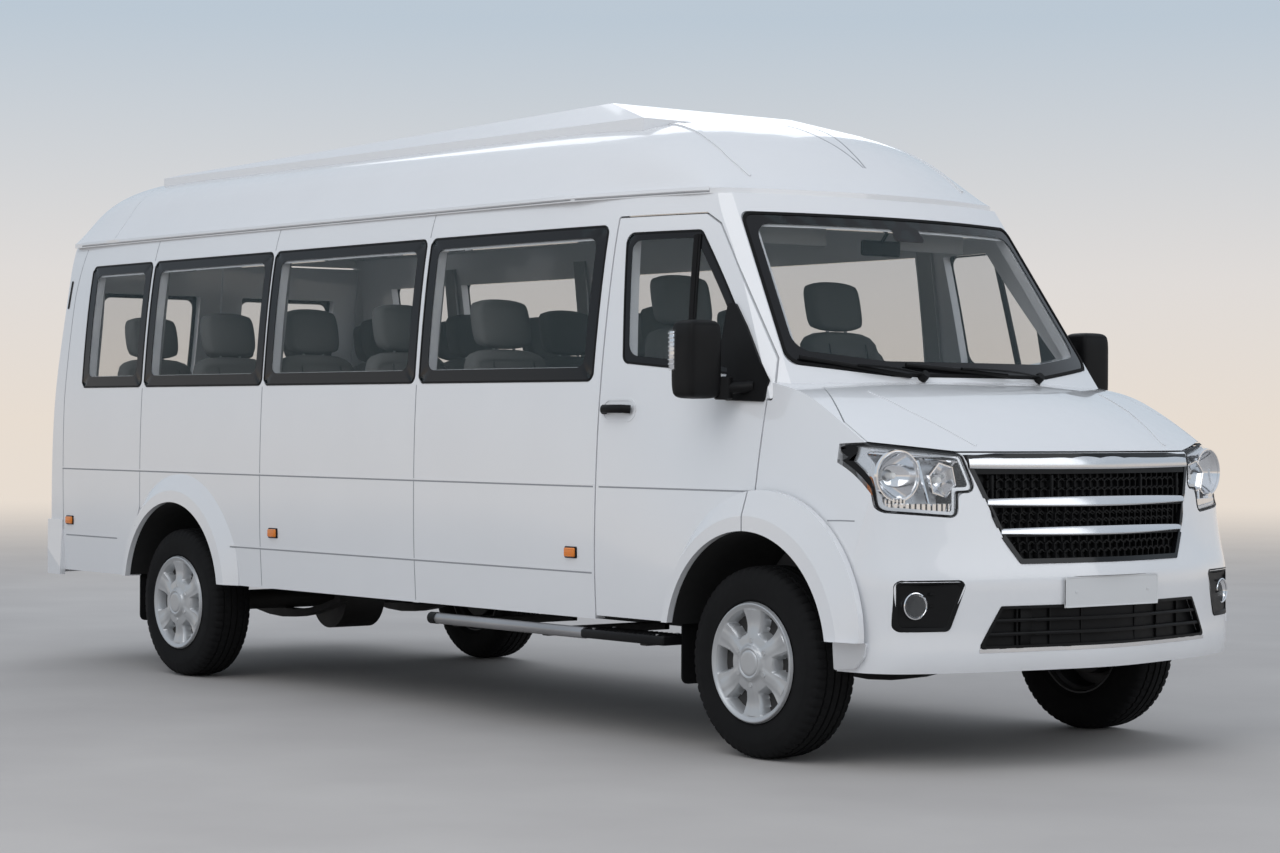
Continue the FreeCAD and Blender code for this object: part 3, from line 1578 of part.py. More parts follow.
step_parts = [
    rod("x", "step_rear_x", "-step_y", "step_z", "step_radius", "step_mid_x - step_rear_x"),
    box("step_mid_x", "-step_y - step_radius", "step_z - step_thick / 2", "step_front_x - step_mid_x",
        "step_board", "step_thick"),
]
for share in (0.1, 0.5, 0.9):
    step_parts.append(box(f"step_rear_x + {share} * (step_front_x - step_rear_x) - step_bracket / 2", "-step_y",
                          "step_z - step_thick / 2", "step_bracket", "step_y - rail_half + rail_width / 2",
                          "step_thick"))
    step_parts.append(box(f"step_rear_x + {share} * (step_front_x - step_rear_x) - step_bracket / 2", "-rail_half",
                          "step_z - step_thick / 2", "step_bracket", "rail_width / 2",
                          "rail_low_z - step_z + step_thick / 2"))
node("side_step", fuse(*step_parts))
flaps = []
for axle in ("front_axle_x", "(front_axle_x - wheelbase)"):
    for low in ("-flap_outer_y", "flap_inner_y"):
        flaps.append(box(f"{axle} - flap_behind - flap_thick", low, "flap_low_z", "flap_thick",
                         "flap_outer_y - flap_inner_y", "floor_low_z - flap_low_z"))
node("mud_flaps", group(*flaps))

# Dashboard and steering wheel

node("dashboard", padded_outline("XZ_Plane", [
    ("bulkhead_x - house_wall - spindle_gap", "dash_low_z"),
    ("bulkhead_x - house_wall - spindle_gap", "bulkhead_top_z + spindle_gap"),
    ("dash_front_x", "bulkhead_top_z + spindle_gap"),
    ("dash_front_x", "dash_high_z - rail_width / 2"),
    ("bulkhead_x", "dash_high_z"),
    ("dash_rear_x + rail_width", "dash_high_z - rail_width"),
    ("dash_rear_x", "dash_high_z - 3 * rail_width"),
    ("dash_rear_x + 2 * rail_width", "dash_low_z"),
], "2 * dash_half"))


def steering_wheel():
    """Ring, hub, spokes and column end, made upright and then leaned to the driver."""
    ring = doc.addObject("Part::Torus", "ring")
    bind(ring, Radius1="wheel_ring", Radius2="wheel_ring_tube")
    hub = rod("z", "0", "0", "-wheel_hub_thick", "wheel_hub_radius", "wheel_hub_thick")
    column = rod("z", "0", "0", "-column_length", "column_radius", "column_length")
    spokes = [box("-wheel_ring", "-wheel_ring_tube", "-wheel_ring_tube", "2 * wheel_ring",
                  "2 * wheel_ring_tube", "wheel_ring_tube"),
              box("-wheel_ring_tube", "-wheel_ring", "-wheel_ring_tube", "2 * wheel_ring_tube",
                  "wheel_ring", "wheel_ring_tube")]
    made = fuse(ring, hub, column, *spokes)
    turn(made, (0, 1, 0), d.wheel_ring_tilt - 90)
    return place(made, "wheel_ring_x", "wheel_ring_y", "wheel_ring_z")


node("steering_wheel", steering_wheel())

# Seats

SEAT_COLUMNS = ("-seat_outer_y", "seat_inner_y", "seat_outer_y")
ROW_COUNT = 4
seat_places = [("cab_seat_x", "-cab_seat_y"), ("cab_seat_x", "cab_seat_y")]
for row in range(ROW_COUNT):
    for column in SEAT_COLUMNS:
        seat_places.append((f"row_first_x - {row} * row_pitch", column))
for column in ("-seat_outer_y", "-seat_inner_y", "seat_inner_y", "seat_outer_y"):
    seat_places.append((f"row_first_x - {ROW_COUNT} * row_pitch", column))


def seat_cushion(rear, across):
    """The squab in front of a backrest's foot."""
    made = padded_outline("XZ_Plane", [
        ("seat_thick * tan(back_lean) + spindle_gap", "-seat_thick"),
        ("seat_depth", "-seat_thick"),
        ("seat_depth + seat_thick / 4", "-seat_thick / 2"),
        ("seat_depth", "0"),
        ("seat_thick / 4 * tan(back_lean) + spindle_gap", "-seat_thick / 4"),
    ], "seat_width")
    return place(made, rear, across, "seat_high_z")


def seat_back(rear, across):
    """The backrest with its headrest on top, leaned back about its foot."""
    back = padded_outline("XZ_Plane", [
        ("-back_thick", "-seat_thick"),
        ("-spindle_gap", "-seat_thick"),
        ("-spindle_gap", "0"),
        ("-back_thick / 4", "back_height"),
        ("-back_thick", "back_height"),
    ], "seat_width")
    rest = padded_outline("XZ_Plane", [
        ("-back_thick / 2 - rest_thick / 2", "back_height + rest_gap"),
        ("-back_thick / 2 + rest_thick / 2", "back_height + rest_gap"),
        ("-back_thick / 2 + rest_thick / 2", "back_height + rest_gap + rest_height"),
        ("-back_thick / 2 - rest_thick / 2", "back_height + rest_gap + rest_height"),
    ], "rest_width")
    posts = [rod("z", "-back_thick / 2", f"{side} * rest_width / 4", "back_height - rest_gap",
                 "glass", "3 * rest_gap") for side in (-1, 1)]
    made = fuse(back, rest, *posts)
    turn(made, (0, 1, 0), -d.back_lean)
    return place(made, rear, across, "seat_high_z")


def seat_frame(rear, across):
    """The pedestal between the floor and the squab."""
    return box(f"{rear} + (seat_depth - leg_depth) / 2", f"{across} - leg_width / 2", "floor_high_z",
               "leg_depth", "leg_width", "seat_high_z - seat_thick - floor_high_z")


node("seat_cushions", group(*[seat_cushion(*place_of) for place_of in seat_places]))
node("seat_backs", group(*[seat_back(*place_of) for place_of in seat_places]))
arch_spaces = [rod("y", "front_axle_x - wheelbase", low, "tyre_radius + arch_rise",
                   "arch_radius + house_gap + house_wall + spindle_gap", "floor_half - house_inner_y + leg_clear")
               for low in ("-floor_half", "house_inner_y - leg_clear")]
node("seat_frames", cut(group(*[seat_frame(*place_of) for place_of in seat_places]), *arch_spaces))

# Mirrors and wipers


def mirror():
    """The right-hand door mirror: housing, arm and the base on the door's front corner."""
    owner = padded_outline("YZ_Plane", [
        ("-mirror_outer_y", "mirror_low_z"),
        ("-mirror_inner_y", "mirror_low_z"),
        ("-mirror_inner_y", "mirror_high_z"),
        ("-mirror_outer_y", "mirror_high_z"),
    ], "mirror_front_x - mirror_rear_x")
    doc.recompute()
    fillet = owner.newObject("PartDesign::Fillet", "fillet")
    pad = owner.Group[-2]
    long_edges = [f"Edge{number}" for number, edge in enumerate(pad.Shape.Edges, start=1)
                  if abs(edge.tangentAt(edge.FirstParameter).x) > 0.9]
    fillet.Base = (pad, long_edges)
    bind(fillet, Radius="mirror_radius")
    place(owner, "(mirror_rear_x + mirror_front_x) / 2")
    arm_pairs = [
        (d.mirror_front_x - d.mirror_arm, -d.mirror_inner_y - d.mirror_arm),
        (d.mirror_front_x - d.mirror_arm, -d.mirror_inner_y),
        (d.mirror_front_x, -d.screen_foot_half),
        (d.mirror_front_x + d.arm_reach, -d.screen_foot_half),
        (d.mirror_front_x + d.arm_reach, -d.mirror_inner_y + d.mirror_arm),
        (d.mirror_front_x, -d.mirror_inner_y - d.mirror_arm),
    ]
    arm = feature(prism("z", arm_pairs, d.arm_low_z, d.arm_low_z + d.mirror_arm))
    base_pairs = [
        (d.base_rear_x, d.base_low_z),
        (d.base_front_x, d.base_low_z),
        (d.base_front_x, d.base_high_z),
        (d.base_mid_x, d.base_high_z),
        (d.base_mid_x, d.base_mid_z),
        (d.base_rear_x, d.base_mid_z),
    ]
    base = feature(moved(cabin_tall, y=-d.base_proud).common(right_prism(base_pairs, 0)))
    blade = feature(cabin_tall)
    return cut(fuse(owner, arm, base), blade)


mirror_right = node("mirror_right", mirror())
node("mirror_left", mirrored(mirror_right))


def wiper(pivot_y, lift):
    """One wiper arm with its blade, parked along the foot of the windscreen."""
    outer = moved(cabin_tall, x=d.wiper_size + d.wiper_gap)
    start = d.screen_foot_z + d.wiper_size
    pairs = [
        (pivot_y, start),
        (pivot_y, start + d.wiper_size),
        (pivot_y - d.wiper_length, start + d.wiper_size + lift),
        (pivot_y - d.wiper_length, start + lift),
    ]
    strip = prism("x", pairs, d.door_front_x, far)
    return outer.common(strip).cut(moved(cabin_tall, x=d.wiper_gap / 8))


node("wipers", feature(Part.makeCompound([
    wiper(0.75 * d.screen_foot_half, d.wiper_size),
    wiper(0, d.wiper_size),
])))

# Checks and files

doc.recompute()
for obj in doc.Objects:
    if "Invalid" in obj.State or "Error" in obj.State:
        raise RuntimeError(f"{obj.Label} failed: {obj.State}")
os.makedirs("parts", exist_ok=True)
for label, obj in nodes.items():
    shape = obj.Shape
    if shape.isNull() or not shape.isValid() or not shape.Solids:
        raise RuntimeError(f"{label} has no valid solid")
for label, obj in nodes.items():
    obj.Shape.exportStep(f"parts/{label}.step")
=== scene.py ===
from math import cos, exp, pi, radians, sin, tan

import bmesh
import bpy
from mathutils import Matrix, Vector
from mathutils.bvhtree import BVHTree


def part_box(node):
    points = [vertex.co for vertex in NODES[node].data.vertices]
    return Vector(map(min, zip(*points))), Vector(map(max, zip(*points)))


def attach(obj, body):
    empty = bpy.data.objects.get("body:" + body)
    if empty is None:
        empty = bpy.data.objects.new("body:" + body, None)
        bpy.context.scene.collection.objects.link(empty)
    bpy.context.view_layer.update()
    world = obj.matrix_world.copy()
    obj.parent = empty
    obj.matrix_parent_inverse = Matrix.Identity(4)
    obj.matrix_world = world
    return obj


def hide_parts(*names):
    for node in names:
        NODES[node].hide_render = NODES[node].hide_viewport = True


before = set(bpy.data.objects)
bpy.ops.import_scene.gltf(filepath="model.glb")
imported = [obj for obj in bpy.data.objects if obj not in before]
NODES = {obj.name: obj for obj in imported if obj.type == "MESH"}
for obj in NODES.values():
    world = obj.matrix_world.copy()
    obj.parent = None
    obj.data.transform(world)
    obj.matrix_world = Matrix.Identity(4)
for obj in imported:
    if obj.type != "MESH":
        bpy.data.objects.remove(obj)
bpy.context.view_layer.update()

# Camera, in the frame's own metres and degrees
CAMERA_PLACE = Vector((10.665, -8.165, 1.295))
CAMERA_YAW = 141.14
CAMERA_PITCH = -0.107
CAMERA_ROLL = 0.283
CAMERA_LENS = 79.66


def set_camera():
    yaw, pitch, roll = (radians(angle) for angle in (CAMERA_YAW, CAMERA_PITCH, CAMERA_ROLL))
    ahead = Vector((cos(yaw) * cos(pitch), sin(yaw) * cos(pitch), sin(pitch)))
    level = Vector((sin(yaw), -cos(yaw), 0))
    above = level.cross(ahead)
    right = cos(roll) * level + sin(roll) * above
    up = cos(roll) * above - sin(roll) * level
    data = bpy.data.cameras.new("camera")
    data.lens = CAMERA_LENS
    data.sensor_width = 36
    data.clip_end = 200
    camera = bpy.data.objects.new("camera", data)
    bpy.context.scene.collection.objects.link(camera)
    turn = Matrix((right, up, -ahead)).transposed()
    camera.matrix_world = Matrix.Translation(CAMERA_PLACE) @ turn.to_4x4()
    bpy.context.scene.camera = camera


# Materials

def new_material(name):
    material = bpy.data.materials.new(name)
    material.use_nodes = True
    tree = material.node_tree
    return material, tree, tree.nodes["Principled BSDF"]


def set_inputs(node, values):
    for name, value in values.items():
        node.inputs[name].default_value = value
    return node


def object_noise(tree, scale, detail=2.0):
    """A noise pattern fixed to the piece."""
    coords = tree.nodes.new("ShaderNodeTexCoord")
    noise = set_inputs(tree.nodes.new("ShaderNodeTexNoise"), {"Scale": scale, "Detail": detail})
    tree.links.new(coords.outputs["Object"], noise.inputs["Vector"])
    return noise.outputs["Fac"]


def spread(tree, factor, low, high):
    """A factor spread between two numbers."""
    spreader = tree.nodes.new("ShaderNodeMapRange")
    set_inputs(spreader, {"From Min": 0.3, "From Max": 0.7, "To Min": low, "To Max": high})
    tree.links.new(factor, spreader.inputs["Value"])
    return spreader.outputs["Result"]


def blend_colours(tree, factor, first, second):
    mix = tree.nodes.new("ShaderNodeMix")
    mix.data_type = "RGBA"
    set_inputs(mix, {"A": (*first, 1), "B": (*second, 1)})
    tree.links.new(factor, mix.inputs["Factor"])
    return mix.outputs["Result"]


def surface(name, colour, rough, metal=0.0, coat=0.0, vary=0.04, vary_scale=2.5, rough_vary=0.04, bump=0.0,
            bump_scale=300.0, alpha=1.0, ior=1.5):
    """A finish with slight unevenness in its colour, gloss and relief."""
    material, tree, shader = new_material(name)
    patches = object_noise(tree, vary_scale)
    dark = [part * (1 - vary) for part in colour]
    light = [min(1.0, part * (1 + vary)) for part in colour]
    tree.links.new(blend_colours(tree, spread(tree, patches, 0, 1), dark, light), shader.inputs["Base Color"])
    gloss = object_noise(tree, vary_scale * 7)
    tree.links.new(spread(tree, gloss, max(0.0, rough - rough_vary), rough + rough_vary),
                   shader.inputs["Roughness"])
    set_inputs(shader,
               {"Metallic": metal, "Coat Weight": coat, "Coat Roughness": 0.03, "Alpha": alpha, "IOR": ior})
    if bump:
        relief = set_inputs(tree.nodes.new("ShaderNodeBump"), {"Distance": bump})
        tree.links.new(object_noise(tree, bump_scale, 3.0), relief.inputs["Height"])
        tree.links.new(relief.outputs["Normal"], shader.inputs["Normal"])
    return material


PAINT = surface("white_paint", (0.78, 0.79, 0.81), 0.22, coat=1.0, vary=0.01, bump=0.00002, bump_scale=60)
GLASS = surface("window_glass", (0.08, 0.115, 0.125), 0.02, vary=0.02, rough_vary=0.0, alpha=0.13, ior=1.5)
BLACK = surface("black_plastic", (0.007, 0.007, 0.0075), 0.48, bump=0.0001, bump_scale=900, ior=1.25)
RUBBER = surface("tyre_rubber", (0.009, 0.009, 0.0095), 0.80, vary=0.15, bump=0.0002, bump_scale=300,
                 ior=1.25)
SILVER = surface("wheel_silver", (0.50, 0.51, 0.52), 0.36, metal=0.6, coat=0.3, vary=0.02)
CHASSIS = surface("chassis_black", (0.022, 0.021, 0.020), 0.6, vary=0.25, bump=0.0003, bump_scale=80)
STEEL = surface("dull_steel", (0.38, 0.38, 0.39), 0.35, metal=0.9, vary=0.1)
CLOTH = surface("seat_cloth", (0.125, 0.125, 0.122), 0.9, vary=0.12, bump=0.0006, bump_scale=700)
DASH = surface("dash_plastic", (0.035, 0.038, 0.042), 0.6, bump=0.0002, bump_scale=600)
MAT = surface("floor_mat", (0.12, 0.12, 0.125), 0.85, vary=0.15, bump=0.0006, bump_scale=250)
PLATE = surface("blank_plate", (0.68, 0.69, 0.70), 0.35, vary=0.01)
AMBER = surface("amber_lens", (0.80, 0.22, 0.01), 0.15, coat=0.6)
RED = surface("red_lens", (0.35, 0.006, 0.008), 0.12, coat=0.8)
LENS = surface("clear_lens", (0.80, 0.82, 0.84), 0.03, vary=0.02, rough_vary=0.01, alpha=0.09, ior=1.5)

BORDER = surface("black_glass_edge", (0.007, 0.007, 0.008), 0.12, vary=0.02, ior=1.38)
# Dark grey for the real panel joints, and also for painted shade: the dark lines of the body creases
JOINT_AND_CREASE_SHADE = surface("panel_joint_and_crease_shade", (0.30, 0.31, 0.33), 0.6, vary=0.02)
RIM = surface("steel_rim", (0.055, 0.055, 0.058), 0.5, metal=0.3, vary=0.15)
CHROME = surface("chrome", (0.82, 0.83, 0.85), 0.08, metal=1.0, vary=0.01, rough_vary=0.02)
BRIGHT = surface("bright_trim", (0.70, 0.71, 0.73), 0.20, metal=0.85, coat=0.3, vary=0.01)
LAMP_GREY = surface("lamp_housing", (0.66, 0.67, 0.69), 0.28, metal=0.7, vary=0.03)
BULB = surface("bulb_glass", (0.90, 0.90, 0.88), 0.1, vary=0.01)
GLASS_BACK = surface("mirror_glass", (0.80, 0.82, 0.84), 0.02, metal=1.0, vary=0.01, rough_vary=0.0)
PIPING = surface("seat_piping", (0.045, 0.047, 0.050), 0.8, vary=0.05)
LINER = surface("arch_liner", (0.008, 0.008, 0.008), 0.9, vary=0.1)
LINING = surface("grey_lining", (0.36, 0.36, 0.36), 0.8, vary=0.04, bump=0.0002, bump_scale=500)

NODE_MATERIALS = (
    (PAINT, ("side_wall", "roof", "cab_frame", "wing", "bonnet", "front_bumper", "rear_bumper", "front_door",
             "rear_door", "scuttle")),
    (GLASS, ("side_glass", "door_glass", "rear_glass", "windscreen")),
    (BLACK, ("mirror", "wipers", "grille", "mud_flaps", "side_step")),
    (RUBBER, ("tyre",)),
    (SILVER, ("wheel",)),
    (CHASSIS, ("chassis_frame", "front_axle", "rear_axle", "leaf_springs", "knuckle", "propshaft",
               "fuel_tank", "engine_block")),
    (STEEL, ("exhaust",)),
    (CLOTH, ("seat_cushions", "seat_backs")),
    (DASH, ("dashboard", "steering_wheel", "seat_frames")),
    (MAT, ("floor",)),
    (PLATE, ("number_plate",)),
    (AMBER, ("side_markers",)),
    (RED, ("tail_lamps",)),
    (LENS, ("front_lamps",)),
)


def dress_nodes():
    """Give every piece of the frame its finish."""
    for material, starts in NODE_MATERIALS:
        for name, node in NODES.items():
            if name.startswith(starts):
                node.data.materials.clear()
                node.data.materials.append(material)


# Drawing on the surfaces of the frame's pieces

LOOKS = {
    "right": (Vector((0, 1, 0)), lambda u, v: Vector((u, -3, v))),
    "left": (Vector((0, -1, 0)), lambda u, v: Vector((u, 3, v))),
    "front": (Vector((-1, 0, 0)), lambda u, v: Vector((6, u, v))),
    "rear": (Vector((1, 0, 0)), lambda u, v: Vector((-6, u, v))),
    "top": (Vector((0, 0, -1)), lambda u, v: Vector((u, v, 5))),
}


class Drape:
    """Lays flat drawings on the surfaces of some pieces, seen from one side."""

    def __init__(self, look, *names):
        points = []
        faces = []
        for name in names:
            data = NODES[name].data
            start = len(points)
            points += [NODES[name].matrix_world @ vertex.co for vertex in data.vertices]
            faces += [[index + start for index in face.vertices] for face in data.polygons]
        self.tree = BVHTree.FromPolygons(points, faces)
        self.ray, self.start = LOOKS[look]

    def at(self, u, v, lift=0.0):
        """The place on the surface at two coordinates, raised along the surface's normal."""
        start = self.start(u, v)
        place, normal, _, _ = self.tree.ray_cast(start, self.ray)
        if place is None:
            place, normal, _, _ = self.tree.find_nearest(
                start + self.ray * (3 if abs(self.ray.x) > 0.5 else 2))
        if normal.dot(self.ray) > 0:
            normal = -normal
        return place + normal * lift


def turns(count):
    """The cosine and sine of equal steps round a circle."""
    return [(cos(2 * pi * step / count), sin(2 * pi * step / count)) for step in range(count)]


def rounded(corners, radius, steps=5, runs=8):
    """A closed outline with rounded corners and points along its runs."""
    count = len(corners)
    corners = [Vector(corner) for corner in corners]
    radii = radius if isinstance(radius, (list, tuple)) else [radius] * count
    bends = []
    for index, corner in enumerate(corners):
        before = corners[index - 1]
        after = corners[(index + 1) % count]
        back = (before - corner).normalized()
        ahead = (after - corner).normalized()
        half = back.angle(ahead) / 2
        reach = min(radii[index] / tan(half), 0.45 * (before - corner).length, 0.45 * (after - corner).length)
        centre = corner + (back + ahead).normalized() * (reach * tan(half) / sin(half))
        bends.append((centre, corner + back * reach, corner + ahead * reach))
    made = []
    for index, (centre, start, end) in enumerate(bends):
        first = start - centre
        sweep = first.angle_signed(end - centre, 0.0)
        made += [centre + Matrix.Rotation(-sweep * step / steps, 2) @ first for step in range(steps + 1)]
        following = bends[(index + 1) % count][1]
        made += [end.lerp(following, step / runs) for step in range(1, runs)]
    return made


def inset(corners, amounts):
    """The outline drawn in by an amount for each edge, or one for all."""
    count = len(corners)
    steps = amounts if isinstance(amounts, (list, tuple)) else [amounts] * count
    points = [Vector(corner) for corner in corners]
    area = sum(points[i].x * points[(i + 1) % count].y - points[(i + 1) % count].x * points[i].y
               for i in range(count))
    hand = 1 if area > 0 else -1
    edges = []
    for index in range(count):
        run = (points[(index + 1) % count] - points[index]).normalized()
        inward = Vector((-run.y, run.x)) * hand
        edges.append((points[index] + inward * steps[index], run))
    made = []
    for index in range(count):
        place, run = edges[index - 1]
        other, other_run = edges[index]
        cross = run.x * other_run.y - run.y * other_run.x
        gap = other - place
        made.append(place + run * ((gap.x * other_run.y - gap.y * other_run.x) / cross))
    return made


def rectangle(left, right, low, high):
    return [(left, low), (right, low), (right, high), (left, high)]


def outline(corners, amount, radius, runs=8):
    """The outline drawn in by an amount, with rounded corners."""
    return rounded(inset(corners, amount), radius, runs=runs)


def headings(route):
    """The direction of a route at each of its points."""
    last = len(route) - 1
    return [(route[min(index + 1, last)] - route[max(index - 1, 0)]).normalized()
            for index in range(last + 1)]


class Shape:
    """A mesh put together from simple forms with a finish for each face."""

    def __init__(self):
        self.points = []
        self.faces = []
        self.finishes = []

    def add(self, points, faces, finish):
        start = len(self.points)
        self.points += [Vector(point) for point in points]
        self.faces += [[index + start for index in face] for face in faces]
        self.finishes += [finish] * len(faces)
        return self

    def join(self, other, move=None):
        start = len(self.points)
        self.points += [move @ point for point in other.points] if move else list(other.points)
        self.faces += [[index + start for index in face] for face in other.faces]
        self.finishes += other.finishes
        return self

    def mirrored(self):
        """The same shape on the other side of the vehicle."""
        made = Shape()
        made.points = [Vector((point.x, -point.y, point.z)) for point in self.points]
        made.faces = [face[::-1] for face in self.faces]
        made.finishes = list(self.finishes)
        return made

    def loft(self, rings, finish, closed=True, cap=True):
        """Faces between rings of equal count, each ring closed or open."""
        count = len(rings[0])
        points = [point for ring in rings for point in ring]
        faces = []
        for row in range(0, (len(rings) - 1) * count, count):
            for column in range(count if closed else count - 1):
                after = (column + 1) % count
                faces.append([row + column, row + after, row + count + after, row + count + column])
        if cap and closed:
            faces.append(list(range(count))[::-1])
            faces.append([(len(rings) - 1) * count + column for column in range(count)])
        return self.add(points, faces, finish)

    def block(self, low, high, finish, bevel=0.004, segments=2, turn=None):
        """A box with rounded edges, turned about its middle."""
        made = bmesh.new()
        bmesh.ops.create_cube(made, size=1)
        low, high = Vector(low), Vector(high)
        middle = (low + high) / 2
        for vertex in made.verts:
            vertex.co = Vector([part * size for part, size in zip(vertex.co, high - low)])
        if bevel:
            bmesh.ops.bevel(made, geom=list(made.edges), offset=bevel, segments=segments, profile=0.5,
                            affect="EDGES", clamp_overlap=True)
        made.verts.index_update()
        points = [(turn @ vertex.co if turn else vertex.co) + middle for vertex in made.verts]
        self.add(points, [[vertex.index for vertex in face.verts] for face in made.faces], finish)
        made.free()
        return self

    def slat(self, low, high, finish, bevel=0.001):
        """A thin block with plain edges."""
        return self.block(low, high, finish, bevel, segments=1)

    def block_at(self, place, low, high, finish, **options):
        """A block whose two corners are given from a place."""
        return self.block(place + Vector(low), place + Vector(high), finish, **options)

    def lathe(self, profile, centre, axis, finish, segments=48, cap=False):
        """A profile of (along, radius) pairs turned about an axis."""
        axis = Vector(axis).normalized()
        side = axis.orthogonal().normalized()
        other = axis.cross(side)
        rings = [[Vector(centre) + axis * along + radius * (side * east + other * north)
                  for east, north in turns(segments)] for along, radius in profile]
        return self.loft(rings, finish, True, cap)

    def wrap(self, rings, finish):
        """Faces between rings that close on themselves, as round a picture frame."""
        turned = list(zip(*rings))
        return self.loft(turned + [turned[0]], finish, cap=False)

    def tube(self, route, radius, finish, sides=12, flat=1.0):
        """A round or flattened tube along a route."""
        route = [Vector(point) for point in route]
        rings = []
        side = None
        for point, ahead in zip(route, headings(route)):
            if side is None:
                side = ahead.cross(Vector((0, 0, 1)))
                if side.length < 0.1:
                    side = ahead.cross(Vector((0, 1, 0)))
            side = (side - ahead * side.dot(ahead)).normalized()
            other = side.cross(ahead)
            rings.append([point + radius * (side * east + flat * other * north)
                          for east, north in turns(sides)])
        return self.loft(rings, finish)

    def band(self, drape, outer, inner, finish, lift=0.001, depth=0.003, rows=2):
        """A closed border between two matching outlines, laid on a surface."""
        rings = [[drape.at(*point, -depth) for point in outer]]
        for row in range(rows + 1):
            share = row / rows
            rings.append([drape.at(*Vector(first).lerp(Vector(second), share), lift)
                          for first, second in zip(outer, inner)])
        rings.append([drape.at(*point, -depth) for point in inner])
        return self.wrap(rings, finish)

    def slab(self, drape, outline, finish, lift=0.001, depth=0.003):
        """A filled outline laid on a surface."""
        top = [drape.at(*point, lift) for point in outline]
        foot = [drape.at(*point, -depth) for point in outline]
        return self.loft([foot, top], finish)

    def ribbon(self, drape, route, width, finish, lift=0.001, depth=0.002, step=0.05):
        """A thin strip along a route laid on a surface."""
        route = [Vector(point) for point in route]
        points = []
        for first, second in zip(route, route[1:]):
            parts = max(1, round((second - first).length / step))
            points += [first.lerp(second, part / parts) for part in range(parts)]
        points.append(route[-1])
        rings = []
        widths = width if isinstance(width, (list, tuple)) else (width, width)
        for index, (point, ahead) in enumerate(zip(points, headings(points))):
            share = index / (len(points) - 1)
            across = Vector((-ahead.y, ahead.x)) * (widths[0] + (widths[1] - widths[0]) * share) / 2
            left = point + across
            right = point - across
            rings.append([drape.at(*left, -depth), drape.at(*left, lift), drape.at(*right, lift),
                          drape.at(*right, -depth)])
        return self.loft(rings, finish)

    def piece(self, name, body="root", *replaced, sharp=35, padded=None):
        """Make the object, let it ride on a body and stand for some nodes."""
        data = bpy.data.meshes.new(name)
        data.from_pydata([tuple(point) for point in self.points], [], self.faces)
        finishes = list(dict.fromkeys(self.finishes))
        for finish in finishes:
            data.materials.append(finish)
        data.polygons.foreach_set("material_index", [finishes.index(finish) for finish in self.finishes])
        fixer = bmesh.new()
        fixer.from_mesh(data)
        bmesh.ops.recalc_face_normals(fixer, faces=list(fixer.faces))
        fixer.to_mesh(data)
        fixer.free()
        data.polygons.foreach_set("use_smooth", [True] * len(data.polygons))
        data.set_sharp_from_angle(angle=radians(sharp))
        made = bpy.data.objects.new(name, data)
        bpy.context.scene.collection.objects.link(made)
        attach(made, body)
        if replaced:
            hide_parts(*replaced)
        return made


def both(shape, name, body="root", replaced="", **options):
    """The shape on the right side and its mirror image on the left."""
    for side, made in (("right", shape), ("left", shape.mirrored())):
        rider = body if body == "root" else f"{body}_{side}"
        gone = [f"{replaced}_{side}"] if replaced else []
        made.piece(f"{name}_{side}", rider, *gone, **options)


def loose_boxes(name):
    """The corners of the box round each separate solid of a piece."""
    made = bmesh.new()
    made.from_mesh(NODES[name].data)
    made.transform(NODES[name].matrix_world)
    bmesh.ops.remove_doubles(made, verts=made.verts, dist=0.00001)
    seen = set()
    boxes = []
    for vertex in made.verts:
        if vertex in seen:
            continue
        island = {vertex}
        front = [vertex]
        while front:
            for edge in front.pop().link_edges:
                for near in edge.verts:
                    if near not in island:
                        island.add(near)
                        front.append(near)
        seen |= island
        places = [near.co.copy() for near in island]
        boxes.append((Vector([min(place[axis] for place in places) for axis in range(3)]),
                      Vector([max(place[axis] for place in places) for axis in range(3)])))
    made.free()
    return boxes


RIGHT = Drape("right", "side_wall_right", "side_glass", "wing_right", "front_bumper", "cab_frame")
ROOF_SIDE = Drape("right", "roof", "roof_rear_cap")
DOOR = Drape("right", "front_door_right", "door_glass_right")
FRONT = Drape("front", "front_bumper", "wing_right", "wing_left", "front_lamps", "bonnet", "scuttle")
SCREEN = Drape("front", "windscreen", "cab_frame")
REAR = Drape("rear", "rear_door_right", "rear_glass_right", "cab_frame", "rear_bumper", "side_wall_right")
GRILLE = Drape("front", "grille", "front_bumper")
HEADLAMP = Drape("front", "front_lamps")
BUMPER = Drape("rear", "rear_bumper")
CAP = Drape("rear", "cab_frame", "roof_rear_cap")
LEFT = Drape("left", "side_wall_left", "side_glass")
TOP = Drape("top", "roof", "roof_rear_cap", "bonnet", "wing_right", "wing_left", "scuttle")

# Windows

PANES = ((-2.940, -2.278), (-2.258, -1.094), (-1.082, 0.207), (0.234, 1.476))
PANE_LEVELS = (1.456, 2.106)


def glass_border(shape, drape, corners, amounts, radius, outer_radius=0.035, rows=2):
    """A black border on a pane with a thin seal line round it."""
    outer = outline(corners, 0.002, outer_radius)
    inner = rounded(inset(corners, amounts), radius)
    shape.band(drape, outer, inner, BORDER, lift=0.0006, depth=0.001, rows=rows)
    seal = outline(corners, 0.010, outer_radius - 0.006)
    shape.band(drape, outer, seal, BLACK, lift=0.0026, depth=0.0, rows=1)


